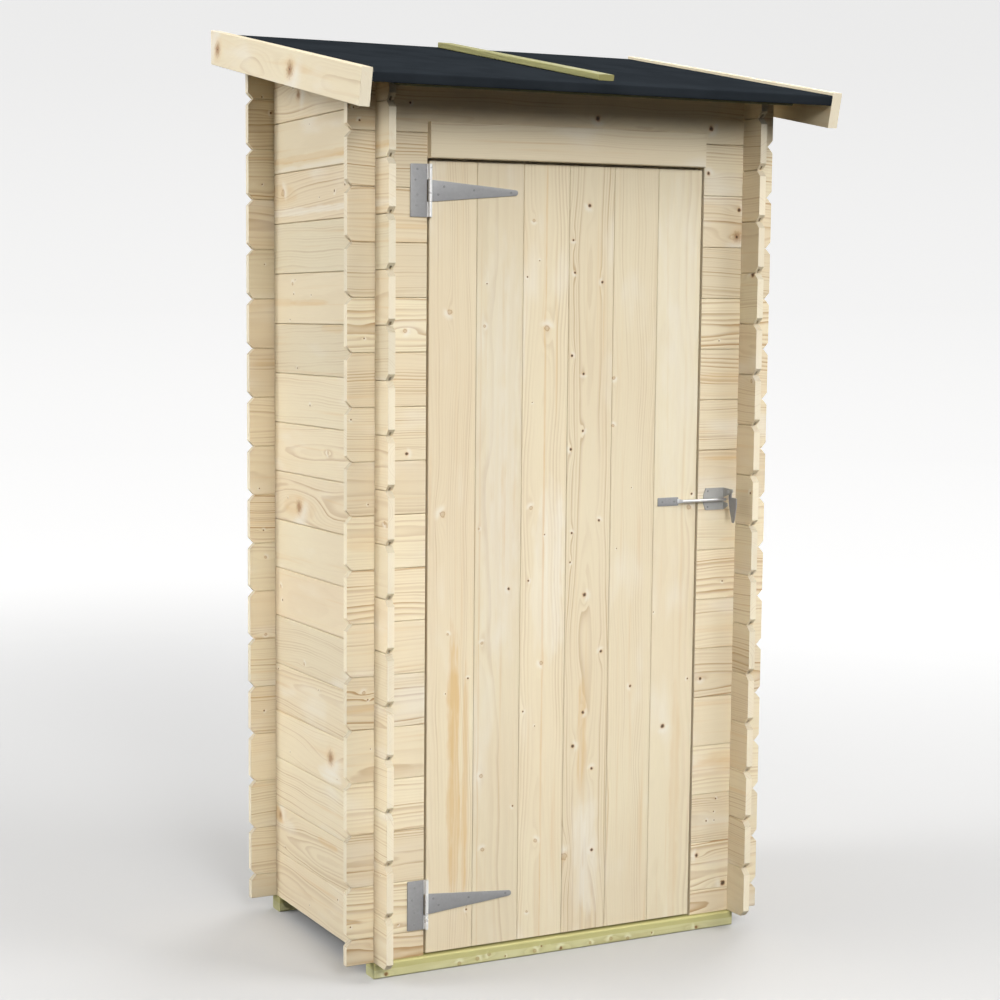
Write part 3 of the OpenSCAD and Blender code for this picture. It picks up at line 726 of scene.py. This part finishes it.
DOOR_STREAKS = {
    1: [(430, 310, 66, 17, 1.2, 0), (370, 270, 94, 8, 0.9, 0)],
    2: [(1080, 480, 60, 60, 0.45, 1), (700, 1000, 12, 2.5, 0.5, 0)],
    3: [(830, 200, 75, 50, 0.6, 1), (900, 1300, 57, 3, 0.7, 0)],
    4: [(175, 150, 60, 38, 0.7, 1), (440, 150, 48, 15, 0.75, 0)],
    6: [(1320, 400, 60, 65, 0.3, 1), (250, 330, 70, 16, 0.4, 0)],
}
DOOR_LOOKS = {  # how each board is cut, then how light, how warm and how strongly ringed it is
    1: ("rift", -0.02, 0.5, 0.55), 2: ("plain", -0.08, 0.3, 0.4), 3: ("flat", -0.02, 0.3, 0.6),
    4: ("flat", -0.06, 0.35, 0.7), 5: ("rift", -0.06, 0.3, 0.5), 6: ("plain", -0.05, 0.2, 0.45),
}
DOOR_BOARDS = range(1, 7)
LEDGES = ("top_ledge", "middle_ledge", "bottom_ledge")
door_rng = random.Random(7)
for number in DOOR_BOARDS:
    node = f"door_board_{number}"
    low, high = extent(node)
    marks = [(low.z + up, low.x + across, radius) for up, across, radius in DOOR_KNOTS[number]]
    stripes = [(low.z + up, half, low.x + across, *rest)
               for up, half, across, *rest in DOOR_STREAKS.get(number, ())]
    wood = Wood(door_rng, (low.x + high.x) / 2, 8, marks, *DOOR_LOOKS[number], stripes=stripes)
    bm = joined_board(
        low.z, high.z, low.x, high.x, high.y - low.y, number < DOOR_BOARDS[-1], number > 1,
        bands=wood.bands(low.z, high.z), ease=1.3, gap=0.35,
    )
    Timber().add(bm, wood, Y * low.y, Z, X, Y).piece(f"door_plank_{number}", node, "door")


def bar(name, node, *made, along="x", ease=1.5, outline=None, knots=(), pins=0.4, **look):
    """A planed bar that fills a CAD node's box, with its grain along the given axis. What follows
    the node is its body, slot and material, if they aren't those of most pieces."""
    low, high = extent(node)
    axes = {"x": (X, Z, Y), "z": (Z, X, Y)}[along]
    (u0, u1), (v0, v1), (w0, w1) = [(low.dot(a), high.dot(a)) for a in axes]
    wood = Wood(rng, (v0 + v1) / 2, (w0 + w1) / 2, knots, pins=pins, span=(u0, u1, v0, v1), **look)
    bm = prism(outline or eased(rectangle(v0, v1, w0, w1), ease), u0, u1, wood.bands(u0, u1))
    Timber().add(bm, wood, NOWHERE, *axes).piece(name, node, *made)


for node in LEDGES:
    bar(f"{node}_bar", node, "door", ease=2.5)

BRACE_FOOT = 90.0  # width of a brace's ends, measured level


def brace(node):
    """A bar that slants from one ledge up to the next, with level ends."""
    low, high = extent(node)
    rise = Vector((high.x - BRACE_FOOT - low.x, high.z - low.z))
    along = rise.normalized()
    across = Vector((along.y, -along.x))
    length = rise.length
    wide = BRACE_FOOT * across.x
    wood = Wood(rng, wide / 2, 10, (), span=(0, length, 0, wide))
    reach = wide * along.x / across.x + 5
    section = eased(rectangle(0, wide, 0, high.y - low.y), 2.0)
    bm = prism(section, -reach, length + reach, wood.bands(0, length))
    up_v = Vector((along.y, across.y, 0))
    slice_off(bm, NOWHERE, -up_v)
    slice_off(bm, X * length, up_v)
    axes = [Vector((flat.x, 0, flat.y)) for flat in (along, across)]
    Timber().add(bm, wood, low, *axes, Y).piece(f"{node}_bar", node, "door")


brace("upper_brace")
brace("lower_brace")

# ---------------- frame, floor and bearers
STOP_Y, LIP = 21.5, 14.0  # the rebate that the door shuts against
POST_W = 30.0
for side, node, edge in ((1, "door_post_left", DOORWAY_L), (-1, "door_post_right", DOORWAY_R)):
    back = extent(node)[1].y
    outer, inner = edge - side * POST_W, edge + side * LIP
    section = [(outer, WALL), (edge, WALL), (edge, STOP_Y), (inner, STOP_Y), (inner, back), (outer, back)]
    bar(f"{node}_bar", node, along="z", outline=eased(section, 1.2))

low, high = extent("door_head")
head_board = Timber()
for (x0, x1), (y0, y1), (z0, z1) in (
    ((low.x, high.x), (0, STOP_Y), (low.z + LIP, high.z)),
    ((low.x + LIP, high.x - LIP), (STOP_Y, high.y), (low.z, high.z)),
):
    wood = Wood(rng, (z0 + z1) / 2, (y0 + y1) / 2)
    head_board.add(prism(eased(rectangle(z0, z1, y0, y1), 1.2), x0, x1), wood)
head_board.piece("door_head_bar", "door_head")

bar("door_head_cover_board", "door_head_cover", ease=1.6, cut="rift", contrast=0.45, warm=0.5, light=-0.01,
    pins=0)
BEARER_KNOTS = [(26, -25, 5), (463, -27, 4), (827, -27, 4.5), (250, -22, -4), (640, -28, -3.5),
                (205, -27, -4), (320, -26, 2), (395, -24, -4), (540, -25, -3), (595, -23, -4), (705, -24, 2)]
for node, knots, contrast in (
    ("front_bearer", BEARER_KNOTS, 1.4), ("middle_bearer", (), 0.9), ("back_bearer", (), 0.9),
):
    bar(f"{node}_bar", node, "shed", "treated_pine", TREATED, ease=3.0, knots=knots, cut="flat",
        contrast=contrast)


def planking(name, node, count, x0, x1, u0, u1, thick, axes, outer_gap, cut=None):
    """Matched boards side by side from x0 to x1."""
    timber = Timber()
    pitch = (x1 - x0) / count
    for i in range(count):
        a, b = x0 + i * pitch, x0 + (i + 1) * pitch
        wood = Wood(rng, (a + b) / 2, round(thick / 2), span=(u0, u1, a, b))
        gap = 0.3 if 0 < i < count - 1 else outer_gap
        bm = joined_board(u0, u1, a, b, thick, i < count - 1, i > 0, bands=wood.bands(u0, u1), gap=gap)
        if cut:
            slice_off(bm, *cut)
        timber.add(bm, wood, *axes)
    timber.piece(name, node)


low, high = extent("floor")
planking("floor_planks", "floor", 10, low.x, high.x, low.y, high.y, high.z - low.z, (NOWHERE, Y, X, Z), 0.3)

# ---------------- roof
ROOF_AXES = (ROOF_FOOT, UP_SLOPE, X, OFF_SLOPE)


def upright_end(short):
    """The upright plane that ends a board of the roof, this far in front of the roof's back."""
    return Vector(((ROOF_Y1 - short) / COS, 0, 0)), (COS, 0, -SIN)


planking("roof_planks", "roof_deck", 12, ROOF_X0, ROOF_X1, ROOF_S0 + FELT,
         (ROOF_Y1 - FELT + DECK * SIN) / COS + 5, DECK, ROOF_AXES, 0.0, upright_end(FELT))

BARGE_KNOTS = {
    "left_barge_board": [(615, -12, -18), (615, -12, 3), (183, -14, -19), (183, -14, 3.5)],
    "right_barge_board": [(300, -20, 6)],
}
for node, marks in BARGE_KNOTS.items():
    low, high = extent(node)
    v0, v1 = BARGE_TOP - BARGE_H, BARGE_TOP
    wood = Wood(rng, (v0 + v1) / 2 + 8, 12, marks, cut="flat", light=0.05, warm=0.25, contrast=0.45)
    section = eased(rectangle(v0, v1, 0, high.x - low.x), 1.0)
    bm = prism(section, ROOF_S0, ROOF_S1 + PAST_END, wood.bands(ROOF_S0, 700))
    slice_off(bm, X * ROOF_S1, (COS, -SIN, 0))
    Timber().add(bm, wood, ROOF_FOOT + X * low.x, UP_SLOPE, OFF_SLOPE, X).piece(f"{node}_plank", node)

TREATED_BATTEN = ("shed", "treated_pine", BATTEN)
BATTEN_FROM, BATTEN_SHORT, BATTEN_T = ROOF_S0 + 62, 30, 13.0
low, high = extent("roof_batten")
middle = (low.x + high.x) / 2
wood = Wood(rng, middle, 28, [(120, middle, 3.5), (420, middle + 8, 3)], cut="flat", contrast=0.8)
section = eased(rectangle(low.x, high.x, DECK + FELT + LAP_GAP, DECK + FELT + BATTEN_T), 1.5)
bm = prism(section, BATTEN_FROM, ROOF_S1 + PAST_END)
slice_off(bm, *upright_end(BATTEN_SHORT))
Timber().add(bm, wood, *ROOF_AXES).piece("roof_batten_bar", "roof_batten", *TREATED_BATTEN)

low, high = extent("front_eaves_batten")
EAVES_S, EAVES_W, EAVES_T = ROOF_S0 + 34, 28, 8
# Painted shade: the eaves batten's wood is made half as light (light=-0.5), standing in for the shade it sits
# in under the eaves.
wood = Wood(rng, EAVES_S + EAVES_W / 2, -EAVES_T / 2, (), cut="flat", light=-0.5, contrast=0.6)
section = eased(rectangle(EAVES_S, EAVES_S + EAVES_W, -EAVES_T, -FELT_UNDER), 1.2)
Timber().add(prism(section, low.x, high.x), wood, ROOF_FOOT, X, UP_SLOPE, OFF_SLOPE).piece(
    "front_eaves_batten_bar", "front_eaves_batten", *TREATED_BATTEN)


def close_mesh(name, bm, smooth, *materials):
    """A smooth-shaded mesh that keeps the edges sharper than an angle in degrees."""
    bmesh.ops.recalc_face_normals(bm, faces=bm.faces)
    mesh = bpy.data.meshes.new(name)
    bm.to_mesh(mesh)
    bm.free()
    for material in materials:
        mesh.materials.append(material)
    mesh.polygons.foreach_set("use_smooth", [True] * len(mesh.polygons))
    mesh.set_sharp_from_angle(angle=math.radians(smooth))
    return bpy.data.objects.new(name, mesh)


def felt_sheet(columns=72, steps=44, bend=4.0):
    """The felt: a sheet that lies on the roof boards, folds down over both their edges and is
    turned under at the eaves, where the eaves batten holds it. The dark turned-under part also stands in for
    the shade under the eaves: painted shade."""
    top, front = DECK + FELT, ROOF_S0
    turns = [i * math.pi / 12 for i in range(7)]

    def back(n):
        return (ROOF_Y1 + n * SIN) / COS

    outer = [(front, n) for n in (0.0, 5, 10, 14)]
    outer += [(front + bend - bend * math.cos(a), top - bend + bend * math.sin(a)) for a in turns]
    flat = back(top) - 2 * bend - front
    outer += [(front + bend + flat * i / steps, top) for i in range(1, steps)]
    for a in turns:
        n = top - bend + bend * math.cos(a)
        outer.append((back(n) - bend + bend * math.sin(a), n))
    outer += [(back(n), n) for n in (14, 10, 5, 0)]
    inner = [(back(0) - FELT, 0.0), (back(DECK) - FELT, DECK), (front + FELT, DECK), (front + FELT, -0.05),
             (FELT_TAIL, -0.05), (FELT_TAIL, -FELT_UNDER), (front + 1.0, -FELT_UNDER), (front + 0.2, -0.4)]
    wave = random.Random(5)
    phases = [(wave.uniform(0.004, 0.02), wave.uniform(0, 6.3), wave.uniform(0.003, 0.015)) for _ in range(5)]
    bm = bmesh.new()
    rings = []
    for i in range(columns + 1):
        x = ROOF_X0 + (ROOF_X1 - ROOF_X0) * i / columns
        ring = []
        for s, n in outer:
            dip = sum(math.sin(a * x + b + c * s) for a, b, c in phases) / len(phases)
            sag = 0.25 * (1 + dip) if n > top - 0.5 else 0.0
            ring.append(bm.verts.new((x, s, n - sag)))
        rings.append(ring + [bm.verts.new((x, s, n)) for s, n in inner])
    loft(bm, rings)
    for vert in bm.verts:
        x, s, n = vert.co
        vert.co = ORIGIN + (ROOF_FOOT + X * x + UP_SLOPE * s + OFF_SLOPE * n) * MM
    show(close_mesh("felt", bm, 35, FELT_SHEET), "shed", "roofing_felt", "roof_felt")


felt_sheet()

# ---------------- ironmongery
def iron_piece(name, bm, body, slot, *materials, nodes=()):
    """A metal piece made in the shed's axes, in millimetres."""
    for vert in bm.verts:
        vert.co = ORIGIN + vert.co * MM
    show(close_mesh(name, bm, 30, *materials), body, slot, *nodes)


def extrude(bm, outline, place, levels, material=0):
    """A solid from an outline: levels are (depth, inset), and place turns (a, b, depth) into a point."""
    rings = []
    for depth, inset in levels:
        ring = []
        for i, corner in enumerate(outline):
            here = Vector(corner)
            before = (here - Vector(outline[i - 1])).normalized()
            after = (Vector(outline[(i + 1) % len(outline)]) - here).normalized()
            normal = Vector((-before.y - after.y, before.x + after.x))
            if normal.length > 1e-6:
                normal = normal / max(0.3, normal.length_squared / 2)
            ring.append(bm.verts.new(place(*(here + normal * inset), depth)))
        rings.append(ring)
    for face in loft(bm, rings):
        face.material_index = material


def on_front(a, b, depth):
    return Vector((a, -depth, b))


def circle(radius, count):
    turns = [i * math.tau / count for i in range(count)]
    return [(radius * math.cos(a), radius * math.sin(a)) for a in turns]


HEAD_SIDES = 24


def screw_head(bm, place, outward, radius, turn):
    """A countersunk screw head with a cross recess, set in a face square to y."""
    x, y, z = place

    def points(flat, height):
        return [bm.verts.new((x + a, y + outward * height, z + b)) for a, b in flat]

    levels = ((1.0, -0.25), (0.97, 0.25), (0.8, 0.5))
    seat, rim, top = [points(circle(radius * share, HEAD_SIDES), height) for share, height in levels]
    loft(bm, (seat, rim, top), ends=False)
    bm.faces.new(seat)
    arm, half = radius * 0.58, radius * 0.13
    cross = [(arm, half), (half, half), (half, arm), (-half, arm), (-half, half), (-arm, half),
             (-arm, -half), (-half, -half), (-half, -arm), (half, -arm), (half, -half), (arm, -half)]
    cos_t, sin_t = math.cos(turn), math.sin(turn)

    def heading(point):
        return math.atan2(point[1], point[0]) % math.tau

    spun = sorted(((a * cos_t - b * sin_t, a * sin_t + b * cos_t) for a, b in cross), key=heading)
    upper = points(spun, 0.5)
    lower = points([(a * 0.7, b * 0.7) for a, b in spun], -0.1)
    nearest = [round(heading(p) / math.tau * HEAD_SIDES) for p in spun]
    for i in range(len(spun)):
        j = (i + 1) % len(spun)
        start, end = nearest[i], nearest[j] + (HEAD_SIDES if nearest[j] < nearest[i] else 0)
        for k in range(start, end):
            bm.faces.new((upper[i], top[k % HEAD_SIDES], top[(k + 1) % HEAD_SIDES]))
        bm.faces.new((upper[i], top[end % HEAD_SIDES], upper[j]))
        bm.faces.new((upper[i], upper[j], lower[j], lower[i]))
    bm.faces.new(lower)


iron_rng = random.Random(17)
PLATE = 2.5
SOFT_EDGE = ((0.0, 0.0), (PLATE - 0.5, 0.0), (PLATE - 0.12, 0.15), (PLATE, 0.5))
PIN_R, BARREL_R = 2.05, 4.2
PLATE_TO_BARREL = BARREL_R + 1.8
KNUCKLE_GAP = 0.5
STRAP_ROOT, STRAP_TIP = 22.5, 6.0  # half the strap's width at the pin, and its radius at the tip


def screws(name, body, places, radius, material=SCREW, outward=-1):
    """One piece of screw heads, each turned its own way."""
    bm = bmesh.new()
    for place in places:
        screw_head(bm, place, outward, radius, iron_rng.uniform(0, 1.5))
    iron_piece(name, bm, body, "zinc_bright", material)


def rolled_knuckle(bm, pin_x, pin_y, edge_x, z0, z1):
    """A hinge plate's edge rolled forwards round the pin, with its free end behind."""
    hand = 1 if edge_x < pin_x else -1

    def arc(r, start, stop, steps):
        angles = [math.radians(start + (stop - start) * i / steps) for i in range(steps + 1)]
        return [(pin_x + hand * r * math.cos(a), pin_y + r * math.sin(a)) for a in angles]

    path = [(edge_x, -PLATE), (pin_x - hand * 4.6, -PLATE - 0.02), (pin_x - hand * 4.05, -PLATE - 0.5)]
    path += arc(BARREL_R, 165, 460, 34) + arc(PIN_R, 456, 148, 26)
    path += [(pin_x - hand * 2.6, -1.0), (pin_x - hand * 3.4, 0.0), (edge_x, 0.0)]
    if hand > 0:
        path.reverse()
    # The barrel takes material 1, the lighter zinc that paints its highlight.
    extrude(bm, path, lambda a, b, h: Vector((a, b, h)), ((z0 + 0.05, 0.0), (z1 - 0.05, 0.0)), 1)


# Screws as (share of the leaf's width, share of its height from the middle), and as (along the
# strap, up from its middle line).
LEAF_SCREWS = {
    "upper": ((0.42, 0.40), (0.30, 0.20), (0.42, -0.08), (0.36, -0.28)),
    "lower": ((0.45, 0.36), (0.3, 0.12), (0.45, -0.14), (0.45, -0.38)),
}
STRAP_SCREWS = {
    "upper": ((28, 9), (14, -8), (99, 3), (189, 0)),
    "lower": ((12, 11), (25, -5), (99, 3), (191, 1)),
}


def hinge(which):
    low, high = extent(f"{which}_hinge_leaf")
    pin_low, pin_high = extent(f"{which}_hinge_pin")
    strap_end = extent(f"{which}_hinge_strap")[1].x
    pin_x, pin_y = (pin_low.x + pin_high.x) / 2, (pin_low.y + pin_high.y) / 2
    middle = (low.z + high.z) / 2

    leaf = bmesh.new()
    edge, cut = pin_x - PLATE_TO_BARREL, 1.5
    outline = [(low.x + cut, low.z), (edge, low.z), (edge, high.z), (low.x + cut, high.z),
               (low.x, high.z - cut), (low.x, low.z + cut)]
    extrude(leaf, outline, on_front, SOFT_EDGE)
    for z0, z1 in ((low.z, middle - STRAP_ROOT - KNUCKLE_GAP), (middle + STRAP_ROOT + KNUCKLE_GAP, high.z)):
        rolled_knuckle(leaf, pin_x, pin_y, edge, z0, z1)
    iron_piece(f"{which}_leaf", leaf, "shed", "galvanised_steel", GALVANISED, ROLLED_HIGHLIGHT_ZINC,
               nodes=[f"{which}_hinge_leaf"])

    strap = bmesh.new()
    x0, end = pin_x + PLATE_TO_BARREL, strap_end - STRAP_TIP
    lean = math.atan2(STRAP_ROOT - STRAP_TIP, end - x0)
    turns = [lean + (math.pi - 2 * lean) * i / 14 for i in range(15)]
    arc = [(end + STRAP_TIP * math.sin(a), middle - STRAP_TIP * math.cos(a)) for a in turns]
    extrude(strap, [(x0, middle - STRAP_ROOT)] + arc + [(x0, middle + STRAP_ROOT)], on_front, SOFT_EDGE)
    rolled_knuckle(strap, pin_x, pin_y, x0, middle - STRAP_ROOT, middle + STRAP_ROOT)
    iron_piece(f"{which}_strap", strap, "door", "galvanised_steel", GALVANISED, ROLLED_HIGHLIGHT_ZINC,
               nodes=[f"{which}_hinge_strap"])

    places = [(low.x + across * (edge - low.x), -PLATE, middle + up * (high.z - low.z))
              for across, up in LEAF_SCREWS[which]]
    screws(f"{which}_leaf_screws", "shed", places, radius=2.6, material=DULL_SCREW)
    places = [(x0 + along, -PLATE, middle + up) for along, up in STRAP_SCREWS[which]]
    screws(f"{which}_strap_screws", "door", places, radius=2.5)


hinge("upper")
hinge("lower")

# The latch's striker: a plate, a flattened neck that widens into the rod, and the rod.
STRIKER_PLATE = 54.0
ROD_Y, ROD_R = -9.0, 3.75
NECK_W, NECK_T = 5.4, 0.9  # half its width and half its thickness
NECK_STEPS, NECK_LEN = 14, 12
ROD_SIDES = 32
low, high = extent("latch_striker")
rod_z = (low.z + high.z) / 2
neck = low.x + STRIKER_PLATE
bm = bmesh.new()
extrude(bm, eased(rectangle(low.x, neck, low.z, high.z), 1.2), on_front, SOFT_EDGE)
iron_piece("striker_plate", bm, "door", "galvanised_steel", GALVANISED, nodes=["latch_striker"])
stations = []
for step in range(NECK_STEPS + 1):
    t = step / NECK_STEPS
    swell = t * t * (3 - 2 * t)
    y = -PLATE - 0.6 + (ROD_Y + PLATE + 0.6) * swell
    wide, thick = NECK_W + (ROD_R - NECK_W) * swell, NECK_T + (ROD_R - NECK_T) * swell
    stations.append((neck - 3 + NECK_LEN * t, y, wide, thick))
shaft = high.x - low.x - STRIKER_PLATE - 10
stations += [(neck + 9 + shaft * share, ROD_Y, ROD_R, ROD_R) for share in (0.35, 0.7, 0.97)]
stations += [(high.x - 0.3, ROD_Y, ROD_R - 0.25, ROD_R - 0.25), (high.x, ROD_Y, ROD_R - 0.7, ROD_R - 0.7)]
bm = bmesh.new()
loft(bm, [[bm.verts.new((x, y + thick * a, rod_z + wide * b)) for a, b in circle(1, ROD_SIDES)]
          for x, y, wide, thick in stations])
iron_piece("striker_rod", bm, "door", "zinc_bright", BRIGHT)
screws("striker_screws", "door", [(low.x + along, -PLATE, rod_z) for along in (11.5, 43.0)],
       radius=2.3)
low, high = extent("latch_body")
places = [(low.x + 0.2 * (high.x - low.x), -PLATE, low.z + up * (high.z - low.z)) for up in (0.14, 0.86)]
screws("latch_screws", "shed", places, radius=2.3)

# Screws through the ledges into each door board, seen from inside.
places = []
for node in LEDGES:
    low, high = extent(node)
    for number in DOOR_BOARDS:
        board_low, board_high = extent(f"door_board_{number}")
        for across, up in ((0.3, 0.25), (0.7, 0.75)):
            x = board_low.x + across * (board_high.x - board_low.x)
            places.append((min(max(x, low.x + 14), high.x - 14), high.y, low.z + up * (high.z - low.z)))
screws("ledge_screws", "door", places, radius=3.2, outward=1)

EDGE_ROUND = 0.35
for node, material, slot in (
    ("latch_body", LATCH_PLATE, "galvanised_steel"), ("latch_pawl", GALVANISED, "galvanised_steel"),
    ("upper_hinge_pin", BRIGHT, "zinc_bright"), ("lower_hinge_pin", BRIGHT, "zinc_bright"),
    ("latch_pin", BRIGHT, "zinc_bright"),
):
    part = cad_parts[node]
    part.data.materials.clear()
    part.data.materials.append(material)
    rounding = part.modifiers.new("edges", "BEVEL")
    rounding.width, rounding.segments, rounding.limit_method = EDGE_ROUND * MM, 2, "ANGLE"
    rounding.angle_limit = math.radians(40)

# ---------------- stage, light and camera
# The floor rises into a round backdrop, glows more the further it lies from the shed, and
# casts no light on it.
stage_tree = Tree("pale_stage")
x, y, _ = stage_tree.split("ShaderNodeSeparateXYZ", stage_tree.place())
reach = stage_tree.math("SQRT", stage_tree.squares(x, y))
glow = stage_tree.times(stage_tree.step(reach, 0.4, 6.5), 0.62)
stage_tree.shader.inputs["Emission Color"].default_value = (1.0, 1.0, 1.0, 1)
stage_tree.put(stage_tree.shader.inputs["Emission Strength"], glow)
STAGE = stage_tree.finish((0.52, 0.52, 0.52, 1), 0.9)
# The stage from its middle outwards, as (radius, height) in metres.
PROFILE = [(0.001, 0.0), (6.0, 0.0), (9.0, 0.0), (11.0, 0.3), (13.0, 1.4), (14.5, 3.6), (15.2, 6.5),
           (15.5, 11.0), (15.6, 17.0)]
bm = bmesh.new()
loft(bm, [[bm.verts.new((a, b, h)) for a, b in circle(r, 96)] for r, h in PROFILE], ends=False)
mesh = bpy.data.meshes.new("stage")
bm.to_mesh(mesh)
bm.free()
mesh.materials.append(STAGE)
mesh.polygons.foreach_set("use_smooth", [True] * len(mesh.polygons))
stage = bpy.data.objects.new("stage", mesh)
scene.collection.objects.link(stage)
stage.visible_diffuse = False

# A sky that is dark at the horizon and evenly pale from a quarter of the way up.
world = bpy.data.worlds.new("studio")
scene.world = world
world.use_nodes = True
nodes, links = world.node_tree.nodes, world.node_tree.links
sky = nodes["Background"]
sky.inputs["Color"].default_value = (1.0, 0.995, 0.985, 1)
towards = nodes.new("ShaderNodeTexCoord")
height = nodes.new("ShaderNodeSeparateXYZ")
dome = nodes.new("ShaderNodeMapRange")
links.new(towards.outputs["Generated"], height.inputs[0])
links.new(height.outputs["Z"], dome.inputs["Value"])
links.new(dome.outputs["Result"], sky.inputs["Strength"])
for name, value in (("From Min", 0.0), ("From Max", 0.25), ("To Min", 0.0), ("To Max", 0.66)):
    dome.inputs[name].default_value = value


def aim(obj, place, direction):
    obj.location = place
    obj.rotation_mode = "QUATERNION"
    obj.rotation_quaternion = direction.to_track_quat("-Z", "Y")
    scene.collection.objects.link(obj)


def area_light(name, place, size, power, target=(0, 0, 1.0), spread=1.2):
    data = bpy.data.lights.new(name, "AREA")
    data.shape, data.size, data.energy, data.spread = "DISK", size, power, spread
    aim(bpy.data.objects.new(name, data), place, Vector(target) - Vector(place))


area_light("front_key", (-1.0, -6.1, 4.0), 3.0, 43)
area_light("low_front", (-1.2, -6.3, 0.4), 1.0, 1.2, (0, -0.4, 0.5), 0.35)
area_light("right_key", (4.5, -4.0, 6.0), 4.0, 48)
area_light("left_key", (-5.4, 1.4, 3.8), 4.0, 37)
area_light("left_fill", (-6.0, 1.6, 1.8), 3.0, 11)
area_light("low_left", (-6.2, -0.6, 0.4), 1.0, 0.8, (-0.47, 0, 0.5), 0.35)
area_light("back_fill", (5.0, 4.5, 3.2), 4.0, 42)

camera = bpy.data.objects.new("camera", bpy.data.cameras.new("camera"))
camera.data.sensor_width = 36.0
camera.data.lens = 70.64
camera.data.shift_x = 0.1684
camera.data.shift_y = 0.0221
camera.data.clip_end = 60
aim(camera, (-2.2382, -3.9362, 1.433), Vector((0.40930, 0.90607, -0.10729)))
scene.camera = camera
scene.view_settings.view_transform = "Standard"
scene.view_settings.look = "None"
